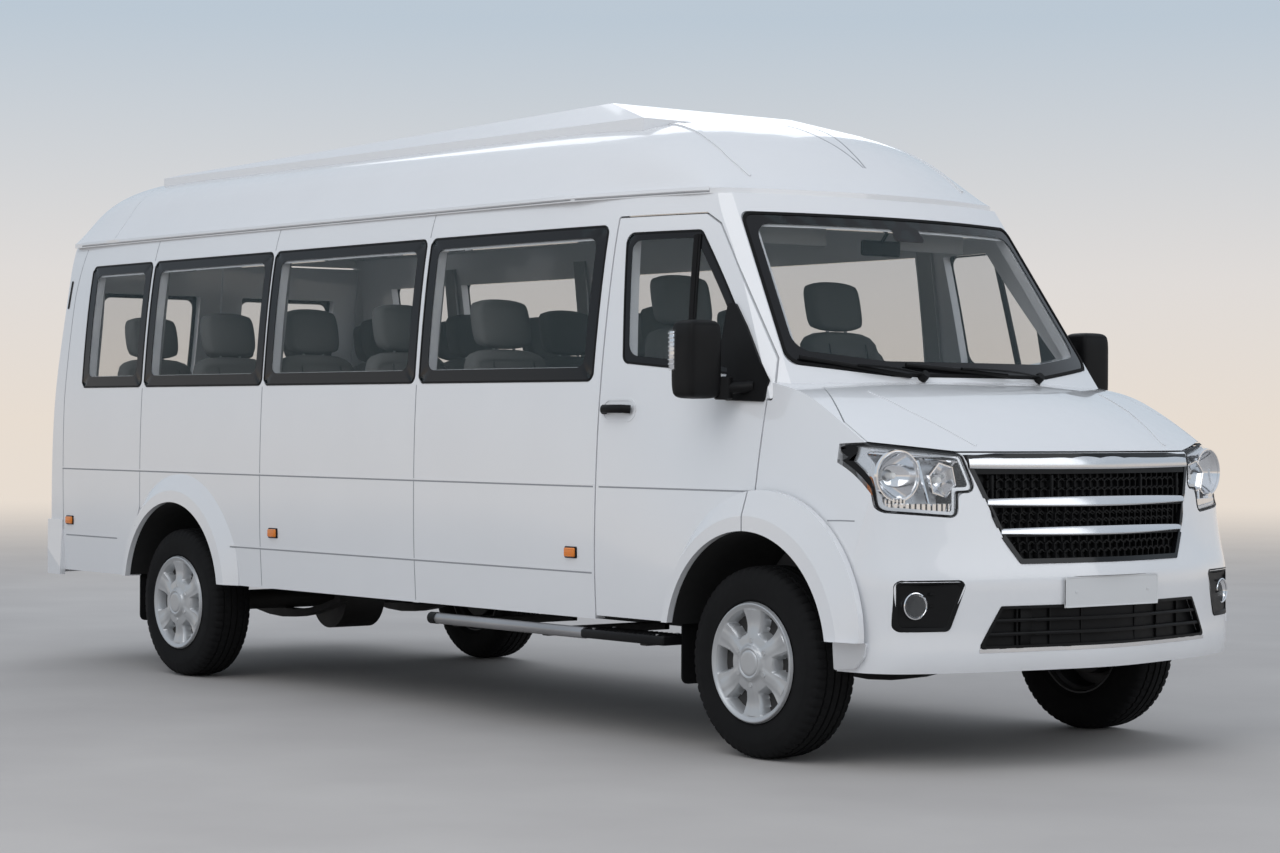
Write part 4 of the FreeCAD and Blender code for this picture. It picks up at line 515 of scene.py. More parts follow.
def windows():
    low, high = PANE_LEVELS
    sides = Shape()
    for rear, front in PANES:
        corners = rectangle(rear, front, low, high)
        glass_border(sides, RIGHT, corners, (0.060, 0.066, 0.052, 0.066), 0.045)
    both(sides, "side_window_borders")
    door = Shape()
    corners = [(1.645, 1.530), (2.440, 1.462), (1.965, 2.068), (1.580, 2.068)]
    glass_border(door, DOOR, corners, (0.036, 0.040, 0.034, 0.036), (0.06, 0.02, 0.05, 0.04))
    door.ribbon(DOOR, [(2.018, 1.515), (1.950, 2.045)], 0.034, BLACK, lift=0.007, depth=0.002)
    door.ribbon(DOOR, [(2.018, 1.515), (1.950, 2.045)], 0.016, RUBBER, lift=0.010, depth=0.0)
    both(door, "door_window_trim", "front_door")
    rear = Shape()
    corners = rectangle(-0.767, -0.105, 1.420, 2.010)
    glass_border(rear, REAR, corners, 0.050, 0.045)
    both(rear, "rear_window_borders", "rear_door")
    screen = Shape()
    corners = [(-0.4275, 1.473), (0.4275, 1.473), (0.855, 1.520), (0.758, 2.138), (-0.758, 2.138),
               (-0.855, 1.520)]
    outer = outline(corners, 0.002, (0.3, 0.3, 0.05, 0.05, 0.05, 0.05), runs=10)
    inner = rounded(inset(corners, (0.062, 0.062, 0.048, 0.050, 0.048, 0.062)),
                    (0.3, 0.3, 0.06, 0.07, 0.07, 0.06), runs=10)
    screen.band(SCREEN, outer, inner, BORDER, lift=0.0006, depth=0.001, rows=3)
    seal = outline(corners, 0.013, (0.3, 0.3, 0.045, 0.045, 0.045, 0.045), runs=10)
    screen.band(SCREEN, outer, seal, RUBBER, lift=0.004, depth=0.0, rows=1)
    screen.slab(SCREEN, rounded([(-0.09, 2.035), (0.09, 2.035), (0.07, 2.10), (-0.07, 2.10)], 0.02, runs=2),
                BORDER, lift=0.0008, depth=0.0)
    screen.piece("windscreen_border")


# Wheels

AXLES = {"front": 2.485, "rear": -1.910}
WHEEL_SIDE = 0.909
WHEEL_LEVEL = 0.371
SIX_STEP = pi / 3


def tyre():
    """A tyre round the y axis with its tread towards +y as towards -y."""
    half = [(0.060, 0.212), (0.082, 0.212), (0.096, 0.222), (0.104, 0.240), (0.1075, 0.244), (0.1085, 0.258),
            (0.1115, 0.270), (0.1122, 0.300), (0.1118, 0.304), (0.1118, 0.312), (0.1102, 0.316),
            (0.108, 0.330), (0.103, 0.345), (0.097, 0.356), (0.088, 0.364), (0.070, 0.3685)]
    tread = [(0.060, 0.3692), (0.059, 0.3612), (0.051, 0.3612), (0.050, 0.3698), (0.030, 0.3704),
             (0.022, 0.3708), (0.021, 0.3628), (0.013, 0.3628), (0.012, 0.371)]
    profile = [(-along, radius) for along, radius in half + tread] + (half + tread)[::-1]
    segments = 240
    made = Shape()
    rings = []
    for along, radius in profile:
        ring = []
        for step, (east, north) in enumerate(turns(segments)):
            depth = 0.0
            if 0.3449 < radius < 0.3690 and abs(along) > 0.065 and step % 4 == 0:
                depth = 0.006
            if 0.3691 < radius and abs(along) > 0.025 and (step + (2 if along > 0 else 0)) % 4 == 0:
                depth = 0.005
            if 0.3100 < radius < 0.3300 and step % 4 < 2:
                depth = 0.0012
            ring.append(((radius - depth) * east, along, (radius - depth) * north))
        rings.append(ring)
    made.loft(rings, RUBBER, True, False)
    for along in (-0.060, 0.060):
        made.lathe([(along, 0.200), (along, 0.213)], (0, 0, 0), (0, 1, 0), RUBBER, segments)
    return made


def cover_depth(angle, radius):
    """How far the wheel cover's face lies behind its plane, and whether that is a window."""
    turn = (angle + SIX_STEP / 2) % SIX_STEP - SIX_STEP / 2
    across = radius * sin(turn)
    along = radius * cos(turn)
    rim = 0.0
    if radius > 0.212:
        rim = -0.007 * sin(min(1.0, (radius - 0.212) / 0.016) * pi * 0.5) + max(0, radius - 0.228) * 2.2
    dish = 0.012 * exp(-((radius - 0.155) / 0.05) ** 2)
    ridge = 0.0
    spoke = angle % SIX_STEP - SIX_STEP / 2
    if 0.062 < radius < 0.205:
        ridge = -0.003 * exp(-(radius * sin(spoke) / 0.020) ** 4)
    hub = -0.016 * (1 / (1 + exp((radius - 0.066) / 0.0025)))
    cap = 0.004 * exp(-((radius - 0.050) / 0.0035) ** 2)
    share = (along - 0.112) / (0.204 - 0.112)
    half = 0.030 + (0.060 - 0.030) * share
    edge = min(along - 0.112, 0.210 - radius, half - abs(across))
    window = min(1.0, max(0.0, edge / 0.014))
    face = dish + rim + ridge + hub + cap
    return face + 0.012 * min(1.0, window * 2) + 0.030 * max(0.0, window * 2 - 1), edge > 0.013


def wheel(outward):
    """Rim, disc and trim cover, with the face towards one side along y."""
    made = Shape()
    made.lathe([(-0.094, 0.219), (-0.094, 0.212), (-0.084, 0.208), (-0.070, 0.206), (-0.060, 0.192),
                (0.020, 0.186), (0.050, 0.195), (0.070, 0.206), (0.086, 0.208), (0.094, 0.213),
                (0.094, 0.219), (0.088, 0.221), (0.080, 0.212), (0.064, 0.210), (0.050, 0.199),
                (0.020, 0.190), (-0.060, 0.197), (-0.070, 0.209), (-0.088, 0.214), (-0.094, 0.219)],
                (0, 0, 0), (0, outward, 0), RIM, 64)
    made.lathe([(0.060, 0.001), (0.060, 0.090), (0.040, 0.110), (0.034, 0.150), (0.028, 0.187)], (0, 0, 0),
               (0, outward, 0), RIM, 64)
    made.lathe([(-0.050, 0.03), (-0.050, 0.135), (0.020, 0.140), (0.020, 0.150), (0.028, 0.150)], (0, 0, 0),
               (0, outward, 0), CHASSIS, 48)
    segments = 240
    radii = [0.001, 0.020, 0.035, 0.042, 0.046, 0.050, 0.054, 0.058, 0.062, 0.065, 0.068, 0.072, 0.080, 0.090]
    radii += [0.096 + 0.004 * step for step in range(28)] + [
        0.207, 0.210, 0.213, 0.217, 0.221, 0.225, 0.229, 0.232, 0.234]
    rings = []
    opening = []
    for radius in radii:
        depths = [cover_depth(2 * pi * step / segments, radius) for step in range(segments)]
        rings.append([(radius * east, outward * (0.113 - back), radius * north)
                      for (east, north), (back, _) in zip(turns(segments), depths)])
        opening += [inside for _, inside in depths]
    shape = Shape().loft(rings, SILVER, cap=False)
    shape.finishes = [CHASSIS if all(opening[index] for index in face) else SILVER for face in shape.faces]
    shape.faces.append(list(range(segments)))
    shape.finishes.append(SILVER)
    made.join(shape)
    for number in range(6):
        angle = pi / 6 + number * pi / 3
        centre = Vector((0.084 * cos(angle), outward * 0.096, 0.084 * sin(angle)))
        made.lathe([(0.0, 0.0125), (0.018, 0.0125), (0.021, 0.010), (0.021, 0.001)], centre, (0, outward, 0),
                   SILVER, 6)
    return made


def wheels():
    tread = tyre()
    meshes = {}
    for end, x in AXLES.items():
        for side, hand in (("right", -1), ("left", 1)):
            body = f"wheel_{end}_{side}"
            for kind in ("tyre", "wheel"):
                name = f"{kind}_{side}"
                gone = f"{kind}_{end}_{side}"
                if name not in meshes:
                    shape = tread if kind == "tyre" else wheel(hand)
                    form = shape.piece(f"{gone}_form", body, gone)
                    meshes[name] = form.data
                else:
                    form = bpy.data.objects.new(f"{gone}_form", meshes[name])
                    bpy.context.scene.collection.objects.link(form)
                    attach(form, body)
                    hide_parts(gone)
                form.location = (x, hand * WHEEL_SIDE, WHEEL_LEVEL)


# Lamps and front end

LAMP_BENDS = (0.026, 0.016, 0.016, 0.008, 0.016, 0.026)
LAMP = [(-0.970, 1.222), (-0.636, 1.183), (-0.595, 1.039), (-0.668, 1.036), (-0.677, 0.944), (-0.955, 0.966)]
GRILLE_LEVELS = (0.765, 0.885, 0.995, 1.140)
GRILLE_EDGE = ((0.776, 0.437), (0.870, 0.500), (1.176, 0.630))


def front_x(y, z):
    """How far forward the grille's outer surface lies."""
    places = [GRILLE.at(y, level).x for level in GRILLE_LEVELS]
    for level, after, place, further in zip(GRILLE_LEVELS, GRILLE_LEVELS[1:], places, places[1:]):
        if z <= after or after == GRILLE_LEVELS[-1]:
            return place + (further - place) * (z - level) / (after - level)


class Bridged:
    """A surface read at the edge of a recess, so that drawings span the recess."""

    def __init__(self, reader):
        self.reader = reader

    def at(self, u, v, lift=0.0):
        return Vector((self.reader(u, v) + lift, u, v))


def bumper_x(low, height):
    """A reader of how far forward the bumper's face lies across a recess."""
    def reader(y, z):
        foot = FRONT.at(y, low).x
        top = FRONT.at(y, low + height).x
        return foot + (top - foot) * (z - low) / height
    return reader


INTAKE_FACE = Bridged(bumper_x(0.452, 0.170))
FOG_FACE = Bridged(bumper_x(0.512, 0.220))
GRILLE_FACE = Bridged(front_x)
INTAKE_MIDDLE = 0.537


def grille_half(z):
    for (low, first), (high, second) in zip(GRILLE_EDGE, GRILLE_EDGE[1:]):
        if z <= high:
            return first + (second - first) * (z - low) / (high - low)
    return GRILLE_EDGE[-1][1]


def bar(shape, z, height, half, thin):
    """A bright bar across the grille that thins towards its ends."""
    deep, proud, lean, count = 0.02, 0.005, 0.22, 40
    section = ((-deep, -0.5), (proud * 0.3, -0.5), (proud, -0.36), (proud, 0.30), (proud * 0.3, 0.5),
               (-deep, 0.5))
    rings = []
    for step in range(count + 1):
        y = -half + 2 * half * step / count
        x = front_x(y, z)
        size = height * (1 - (1 - thin) * abs(y / half) ** 2)
        rings.append([(x + across - lean * up * size, y, z + up * size) for across, up in section])
    shape.loft(rings, BRIGHT)


def honeycomb(shape, low, high):
    """Hexagonal cells behind the bars."""
    pitch = 0.040
    rows = max(1, round((high - low) / (pitch * 0.866)))
    for row in range(rows + 1):
        z = low + (high - low) * row / rows
        half = grille_half(z) - 0.045
        count = int(2 * half / pitch)
        for column in range(count + 1):
            y = -half + pitch * column + (pitch / 2 if row % 2 else 0)
            if abs(y) > half:
                continue
            x = front_x(y, z)
            rings = []
            for back, size in ((0.027, 0.60), (0.011, 0.60), (0.011, 0.47), (0.027, 0.44)):
                rings.append([(x - back, y + pitch * size * north, z + pitch * size * east)
                              for east, north in turns(6)])
            shape.loft(rings, BLACK, cap=False)


def front_end():
    bright = Shape()
    for z, height, half, thin in ((1.146, 0.048, 0.612, 0.85), (1.000, 0.036, 0.552, 0.62),
                                  (0.890, 0.032, 0.505, 0.62)):
        bar(bright, z, height, half, thin)
    corners = [(-0.630, 1.176), (0.630, 1.176), (0.500, 0.870), (0.437, 0.776), (-0.437, 0.776),
               (-0.500, 0.870)]
    bright.band(GRILLE_FACE, outline(corners, -0.006, 0.012), outline(corners, 0.013, 0.012), BORDER,
                lift=0.003, depth=0.020)
    for low, high in ((1.030, 1.100), (0.915, 0.972), (0.800, 0.862)):
        honeycomb(bright, low, high)
    for y in (-0.25, 0.25, -0.52, 0.52):
        x = front_x(y, 1.0)
        bright.block((x - 0.026, y - 0.005, 0.79), (x - 0.008, y + 0.005, 1.10), BLACK)
    bright.piece("grille_bars")
    intake = Shape()
    for step in range(7):
        y = -0.45 + 0.90 * step / 6
        x = INTAKE_FACE.at(y, INTAKE_MIDDLE).x
        intake.slat((x - 0.030, y - 0.004, 0.466), (x - 0.020, y + 0.004, 0.608), BLACK)
    high = 0.006
    for z in (0.512, 0.562):
        half = 0.535 + 0.093 * (0.612 - z) / 0.15 - 0.004
        rings = []
        for step in range(41):
            y = max(-half, min(half, (-0.60 + 1.20 * step / 40) * half / 0.60))
            x = INTAKE_FACE.at(y, z).x
            rings.append([(x - 0.024, y, z - high), (x - 0.002, y, z - high * 0.8), (x, y, z),
                          (x - 0.002, y, z + high * 0.8), (x - 0.024, y, z + high)])
        intake.loft(rings, BLACK)
    face = INTAKE_FACE.at(-0.400, INTAKE_MIDDLE)
    intake.block((face.x - 0.036, -0.435, 0.466), (face.x - 0.026, -0.365, 0.608), BLACK, bevel=0.002)
    corners = [(-0.628, 0.462), (0.628, 0.462), (0.535, 0.612), (-0.535, 0.612)]
    intake.band(INTAKE_FACE, outline(corners, -0.004, 0.012, runs=16),
                outline(corners, 0.007, 0.010, runs=16), BLACK, lift=0.002, depth=0.020)
    intake.piece("intake_ribs")
    lip = Shape().ribbon(FRONT, [(-0.63 + 1.26 * step / 20, 0.452) for step in range(21)], 0.014, BRIGHT,
                         lift=0.002)
    lip.piece("intake_lip")


def headlamps():
    lamp = Shape()
    lamp.band(HEADLAMP, outline(LAMP, 0.001, (0.03, 0.02, 0.02, 0.01, 0.02, 0.03), runs=6),
              outline(LAMP, 0.007, LAMP_BENDS, runs=6), BLACK, lift=0.001)
    lamp.band(HEADLAMP, outline(LAMP, 0.008, LAMP_BENDS, runs=6),
              outline(LAMP, 0.020, (0.02, 0.012, 0.012, 0.005, 0.012, 0.02), runs=6), LAMP_GREY, lift=-0.008,
              depth=0.014)
    plate = outline(LAMP, 0.016, 0.012, runs=6)
    rings = [[HEADLAMP.at(*point) - Vector((back, 0, 0)) for point in plate] for back in (0.100, 0.094)]
    lamp.loft(rings, LAMP_GREY)
    for y, z, radius, depth, sides in ((-0.862, 1.098, 0.092, 0.075, 48), (-0.706, 1.082, 0.064, 0.050, 6)):
        face = HEADLAMP.at(y, z)
        centre = Vector((face.x - depth - 0.018, y, z))
        axis = Vector((1, -0.18 if y < -0.8 else -0.08, 0))
        bowl = [(depth * (share / 8) ** 1.8, radius * (0.25 + 0.75 * share / 8)) for share in range(9)]
        lamp.lathe(bowl + [(depth, radius + 0.004), (depth - 0.012, radius + 0.006)], centre, axis, CHROME,
                   sides)
        lamp.lathe([(0.0, 0.012), (depth * 0.55, 0.012), (depth * 0.62, 0.008), (depth * 0.62, 0.001)],
                   centre, axis, BULB, 20)
        lamp.lathe([(depth * 0.9, radius * 0.99), (depth * 0.96, radius * 0.93),
                    (depth * 0.9, radius * 0.90)], centre, axis, BRIGHT, sides)
    for step in range(9):
        y = -0.955 + 0.012 * step
        face = HEADLAMP.at(y, 1.02)
        lamp.slat((face.x - 0.045, y - 0.004, 0.985),
                  (face.x - 0.016, y + 0.004, 1.012 + 0.004 * (step % 2)), CHROME)
    for step in range(12):
        y = -0.690 - 0.020 * step
        face = HEADLAMP.at(y, 0.985)
        lamp.block((face.x - 0.050, y - 0.008, 0.962), (face.x - 0.016, y + 0.008, 0.996), CHROME,
                   bevel=0.002, segments=1)
    for foot, top in (((-0.770, 0.990), (-0.792, 1.180)), ((-0.640, 1.010), (-0.640, 1.170)),
                      ((-0.950, 1.185), (-0.640, 1.176))):
        ends = [HEADLAMP.at(*foot, -0.030), HEADLAMP.at(*top, -0.030)]
        lamp.tube(ends, 0.007, CHROME, 6)
    amber = HEADLAMP.at(-0.945, 1.06)
    lamp.block_at(amber, (-0.06, 0.0, -0.035), (-0.03, 0.018, 0.035), AMBER)
    both(lamp, "headlamp_inside")
    fog = Shape()
    centre = HEADLAMP.at(-0.863, 0.622)
    for profile in ([(-0.030, 0.050), (0.004, 0.050), (0.006, 0.046), (0.002, 0.043)],
                    [(-0.028, 0.006), (-0.020, 0.022), (-0.006, 0.038), (0.000, 0.043)]):
        fog.lathe(profile, centre, (1, -0.25, 0), CHROME, 40)
    corners = [(-0.930, 0.536), (-0.750, 0.536), (-0.681, 0.708), (-0.930, 0.708)]
    dish = ((-0.010, 0.026, 0.0), (-0.006, 0.024, 0.004), (0.006, 0.018, 0.001), (0.016, 0.014, -0.020))
    fog.loft([[FOG_FACE.at(*point, lift) for point in outline(corners, amount, radius)]
              for amount, radius, lift in dish], BLACK)
    for step in range(3):
        z = 0.575 + 0.045 * step
        face = HEADLAMP.at(-0.86, z)
        fog.slat((face.x - 0.020, -0.815, z - 0.004), (face.x + 0.026, -0.755 + 0.018 * step, z + 0.004),
                 BLACK)
    both(fog, "fog_lamp_trim")


# Body trim

SEAM_LOOK = {"width": 0.005, "finish": JOINT_AND_CREASE_SHADE, "lift": 0.0006}


def crease(shape, drape, start, end, z):
    """A level fold in a panel: a dark line of painted shade under a raised bright edge."""
    # painted shade: the dark line stands for the shadow in the fold's down-facing groove
    shape.ribbon(drape, [(start, z), (end, z)], 0.006, JOINT_AND_CREASE_SHADE, lift=0.0005)
    shape.ribbon(drape, [(start, z + 0.007), (end, z + 0.007)], 0.006, PAINT, lift=0.0014)


def seams():
    """Panel joints, creases and the rain channel of one side, and its mirror image."""
    side = Shape()
    for x in (0.220, -1.090, -2.270):
        side.ribbon(RIGHT, [(x, 0.495), (x, 1.452)], **SEAM_LOOK)
        side.ribbon(RIGHT, [(x, 2.110), (x, 2.210)], **SEAM_LOOK)
    for start, end, z in ((-3.14, 1.508, 1.026), (-3.10, -2.52, 0.672), (-1.36, 1.505, 0.672)):
        crease(side, RIGHT, start, end, z)
    side.ribbon(RIGHT, [(-3.128, 0.70), (-3.140, 1.40), (-3.110, 1.95), (-3.06, 2.20)], **SEAM_LOOK)
    side.slab(RIGHT,
              rounded([(-3.190, 1.885), (-3.172, 1.885), (-3.158, 2.035), (-3.176, 2.035)], 0.007, runs=3),
              BLACK, lift=0.003)
    side.ribbon(ROOF_SIDE, [(-3.10, 2.232), (1.96, 2.232)], 0.010, PAINT, lift=0.006, depth=0.002)
    side.ribbon(ROOF_SIDE, [(-3.10, 2.221), (1.96, 2.221)], 0.005, JOINT_AND_CREASE_SHADE, lift=0.001)
    side.ribbon(RIGHT, [(2.887, 0.928), (2.952, 0.930), (3.020, 0.930)], **SEAM_LOOK)
    both(side, "side_seams")
    door = Shape()
    crease(door, DOOR, 1.545, 2.455, 1.026)
    cup = rounded(rectangle(1.545, 1.745, 1.292, 1.388), 0.047, runs=3)
    inner = rounded(rectangle(1.556, 1.734, 1.302, 1.378), 0.037, runs=3)
    door.band(DOOR, cup, inner, PAINT, lift=0.0022, depth=0.001, rows=1)
    grip = [DOOR.at(x, 1.342, lift)
            for x, lift in ((1.560, 0.006), (1.585, 0.030), (1.64, 0.036), (1.70, 0.034), (1.725, 0.010))]
    door.tube(grip, 0.013, BLACK, sides=14, flat=1.35)
    lock = DOOR.at(1.567, 1.342, 0.004)
    door.lathe([(0.0, 0.020), (0.012, 0.019), (0.016, 0.012), (0.016, 0.001)], lock, (0, -1, 0), BLACK, 24)
    both(door, "door_trim", "front_door")
    bonnet = Shape()
    for hand in (-1, 1):
        route = [(x, hand * y) for x, y in ((2.742, 0.655), (2.931, 0.625), (3.078, 0.575), (3.195, 0.53))]
        bonnet.ribbon(TOP, route, (0.010, 0.016), PAINT, lift=0.0030)
    bonnet.piece("bonnet_creases", "bonnet")
    roof = Shape()
    for hand in (-1, 1):
        outer = ((1.34, 0.484), (1.54, 0.551), (1.719, 0.592), (1.87, 0.613), (1.989, 0.608))
        inner = ((1.62, 0.075), (1.782, 0.052), (1.915, 0.022), (2.019, 0.006))
        roof.ribbon(TOP, [(x, hand * y) for x, y in outer], (0.030, 0.012), PAINT, lift=0.006)
        roof.ribbon(TOP, [(x, hand * y) for x, y in inner], 0.006, JOINT_AND_CREASE_SHADE, lift=0.0008)
    roof.piece("roof_creases")


def arches():
    """Black liners in the wheel arches and the lower ends of the front arch lips."""
    made = Shape()
    for axle in AXLES.values():
        centre = Vector((axle, 0, 0.411))
        section = ((0.4635, -1.040), (0.4635, -0.590), (0.4615, -0.590), (0.4615, -1.040))
        rings = []
        for step in range(49):
            angle = radians(10.0 + 160.0 * step / 48)
            out = Vector((cos(angle), 0, sin(angle)))
            rings.append([centre + out * reach + Vector((0, y, 0)) for reach, y in section])
        made.loft(rings, LINER)
    both(made, "arch_liners")
    lip = Shape()
    corners = [(2.949, 0.486), (3.098, 0.486), (3.086, 0.430), (3.045, 0.388), (2.949, 0.378)]
    lip.slab(RIGHT, rounded(corners, 0.012, runs=4), PAINT, lift=0.020, depth=0.002)
    both(lip, "arch_lip_ends")


def markers():
    made = Shape()
    for x in (1.368, -0.968, -3.048):
        face = RIGHT.at(x, 0.752)
        made.block((x - 0.040, face.y - 0.006, 0.728), (x + 0.040, face.y + 0.008, 0.776), BLACK, bevel=0.004)
        made.block((x - 0.034, face.y - 0.015, 0.733), (x + 0.034, face.y + 0.004, 0.771), AMBER,
                   bevel=0.006, segments=3)
        for step in range(5):
            z = 0.739 + 0.0065 * step
            made.slat((x - 0.028, face.y - 0.0160, z - 0.0012), (x + 0.028, face.y - 0.012, z + 0.0012),
                      AMBER, bevel=0)
    made.join(made.mirrored())
    made.piece("side_marker_lamps", "root", "side_markers")


def mirror():
    """The right-hand mirror: housing, glass, lamp, arm and the sail panel on the door's corner."""
    made = cushion((2.186, -1.192, 1.384), (2.326, -1.030, 1.688), BLACK, crown=0.004, grid=16, power=7.0)
    made.tube([(2.285, -1.050, 1.425), (2.300, -1.010, 1.425), (2.345, -0.955, 1.428),
               (2.385, -0.925, 1.432)], 0.030, BLACK, 20, flat=0.8)
    made.lathe([(-0.045, 0.030), (-0.040, 0.036), (0.040, 0.036), (0.045, 0.030)], (2.300, -1.010, 1.425),
               (0, 0, 1), BLACK, 28, True)
    sail = rounded([(2.235, 1.378), (2.466, 1.372), (2.466, 1.455), (2.300, 1.665), (2.215, 1.760),
                    (2.175, 1.760), (2.175, 1.515), (2.235, 1.505)], 0.012, runs=3)
    made.slab(DOOR, sail, BLACK, lift=0.012)
    corners = rectangle(-1.173, -1.052, 1.400, 1.672)
    face = Bridged(lambda u, v: 2.187)
    made.slab(face, outline(corners, 0.012, 0.026, runs=3), GLASS_BACK, lift=-0.006)
    made.block((2.190, -1.202, 1.490), (2.226, -1.180, 1.650), LENS, bevel=0.007, segments=3)
    made.block((2.194, -1.197, 1.496), (2.222, -1.184, 1.644), CHROME, bevel=0.003)
    for step in range(8):
        z = 1.515 + 0.017 * step
        made.slat((2.193, -1.2035, z), (2.224, -1.190, z + 0.004), CHROME)
    both(made, "mirror_form", "front_door", "mirror", sharp=50)


def between(first, second, share):
    return [start + (end - start) * share for start, end in zip(first, second)]


def wiper(pivot, tip, middle):
    """Arm and blade of a wiper parked on the windscreen."""
    made = Shape()
    start = SCREEN.at(*pivot, 0.020)
    made.lathe([(-0.03, 0.020), (0.0, 0.020), (0.012, 0.016), (0.012, 0.001)], start, (0.8, 0, 0.6), BLACK,
               24)
    arm = [SCREEN.at(*between(pivot, middle, step / 8), 0.024 + 0.012 * sin(step / 8 * pi))
           for step in range(9)]
    made.tube(arm, 0.008, BLACK, sides=8, flat=0.6)
    first = (2 * middle[0] - tip[0], 2 * middle[1] - tip[1])
    blade = [SCREEN.at(*between(first, tip, step / 16), 0.012) for step in range(17)]
    made.tube(blade, 0.007, BLACK, sides=8, flat=1.3)
    return made


def wipers():
    made = wiper((0.36, 1.470), (-0.36, 1.515), (-0.10, 1.497))
    made.join(wiper((-0.30, 1.470), (-0.80, 1.540), (-0.58, 1.505)))
    made.piece("wiper_set", "root", "wipers")


def step_and_flaps():
    made = Shape()
    made.tube([(0.372, -1.010, 0.425), (0.372, -1.035, 0.425), (0.390, -1.040, 0.425),
               (1.475, -1.040, 0.425)], 0.024, STEEL, 24)
    made.lathe([(-0.02, 0.026), (0.03, 0.026)], (0.385, -1.040, 0.425), (1, 0, 0), BLACK, 24, True)
    made.block((1.468, -1.066, 0.406), (2.006, -0.910, 0.443), BLACK, bevel=0.010, segments=3)
    for step in range(17):
        x = 1.49 + 0.031 * step
        made.slat((x - 0.005, -1.052, 0.440), (x + 0.005, -0.925, 0.4465), BLACK)
    for x in (1.53, 1.94):
        for y in (-1.040, -0.935):
            made.lathe([(0, 0.008), (0.005, 0.008), (0.006, 0.001)], (x, y, 0.4435), (0, 0, 1), STEEL, 16)
    for x in (0.529, 1.183, 1.837):
        made.block((x - 0.022, -1.030, 0.395), (x + 0.022, -0.375, 0.430), CHASSIS, bevel=0.004)
        made.block((x - 0.022, -0.400, 0.395), (x + 0.022, -0.372, 0.468), CHASSIS, bevel=0.002)
    made.piece("side_step_set", "root", "side_step")
    flaps = Shape()
    for axle in AXLES.values():
        x = axle - 0.484
        corners = rounded(rectangle(-0.968, -0.780, 0.250, 0.655), (0.03, 0.03, 0.003, 0.003), runs=3)
        rings = [[(x + off, *corner) for corner in corners] for off in (0.0, 0.008)]
        flaps.loft(rings, RUBBER)
        for z in (0.27, 0.29, 0.31):
            flaps.slat((x - 0.003, -0.950, z - 0.003), (x + 0.001, -0.798, z + 0.003), RUBBER, bevel=0)
    flaps.join(flaps.mirrored())
    flaps.piece("mud_flap_set", "root", "mud_flaps")


def plates():
    made = Shape()
    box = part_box("number_plate")
    low, high = Vector(box[0]), Vector(box[1])
    x = high.x
    corners = rectangle(low.y, high.y, low.z, high.z)
    section = ((-0.004, 0.0), (0.0015, 0.0), (0.0015, 0.004), (0.0003, 0.006), (-0.004, 0.006))
    rim = [[(x + off, *corner) for corner in outline(corners, step, 0.010, runs=2)] for off, step in section]
    made.wrap(rim, PLATE)
    for y in (low.y + 0.06, high.y - 0.06):
        made.lathe([(-0.001, 0.006), (0.002, 0.006), (0.003, 0.001)], (x, y, (low.z + high.z) / 2),
                   (1, 0, 0), PLATE, 16)
    made.piece("plate_rim")


def tail():
    """Lamp sections, handles and hinges of the rear."""
    made = Shape()
    lamp = Drape("right", "tail_lamps")
    back = Drape("rear", "tail_lamps")
    for low, high, finish in ((0.870, 0.985, RED), (1.000, 1.100, LENS), (1.115, 1.230, AMBER),
                              (1.245, 1.440, RED)):
        corners = rectangle(-0.985, -0.918, low, high)
        made.slab(back, rounded(corners, 0.012, runs=3), finish, lift=0.004)
        middle = back.at(-0.951, (low + high) / 2, 0.004)
        made.lathe([(0, 0.026), (0.003, 0.025), (0.004, 0.020), (0.004, 0.001)], middle, (-1, 0, 0), finish,
                   28)
    made.ribbon(lamp, [(-3.300, 0.875), (-3.300, 1.435)], 0.006, JOINT_AND_CREASE_SHADE, lift=0.0015)
    both(made, "tail_lamp_sections")
    door = Shape()
    for level in (1.000, 1.450, 1.950):
        place = REAR.at(-0.872, level)
        pin = place + Vector((-0.010, -0.004, 0))
        door.lathe([(-0.045, 0.012), (-0.044, 0.015), (0.044, 0.015), (0.045, 0.012)], pin, (0, 0, 1), BLACK,
                   20, True)
        door.block_at(place, (-0.010, 0.0, -0.035), (0.004, 0.070, 0.035), PAINT, bevel=0.003)
    # Painted shade: a dark line that continues the side crease's shadow across the rear door
    door.ribbon(REAR, [(-0.845, 1.026), (-0.03, 1.026)], 0.006, JOINT_AND_CREASE_SHADE, lift=0.0005)
    both(door, "rear_door_hinges", "rear_door")
    handle = Shape()
    place = REAR.at(-0.075, 1.20)
    handle.block_at(place, (-0.012, -0.030, -0.085), (0.004, 0.030, 0.085), BLACK, bevel=0.010, segments=3)
    bow = ((-0.012, 0, 0.06), (-0.042, 0, 0.045), (-0.045, 0, -0.03), (-0.014, 0, -0.055))
    handle.tube([place + Vector(point) for point in bow], 0.009, BLACK)
    handle.piece("rear_door_handle", "rear_door_right")
    step = Shape()
    for count in range(14):
        y = -0.62 + 0.0954 * count
        place = BUMPER.at(y, 0.735)
        step.slat((place.x - 0.002, y - 0.034, 0.7515), (place.x + 0.060, y + 0.034, 0.7565), BLACK)
    for hand in (-1, 1):
        place = BUMPER.at(hand * 0.72, 0.60)
        step.block_at(place, (-0.005, -0.05, -0.02), (0.006, 0.05, 0.02), RED, bevel=0.004)
    place = BUMPER.at(0.0, 0.60)
    step.block_at(place, (-0.006, -0.26, -0.0575), (0.004, 0.26, 0.0575), PLATE, bevel=0.003)
    step.piece("rear_bumper_details")
    high = Shape()
    place = CAP.at(0.0, 2.205)
    high.block_at(place, (-0.016, -0.16, -0.016), (0.01, 0.16, 0.016), RED, bevel=0.006, segments=3)
    high.piece("high_stop_lamp")


# Inside

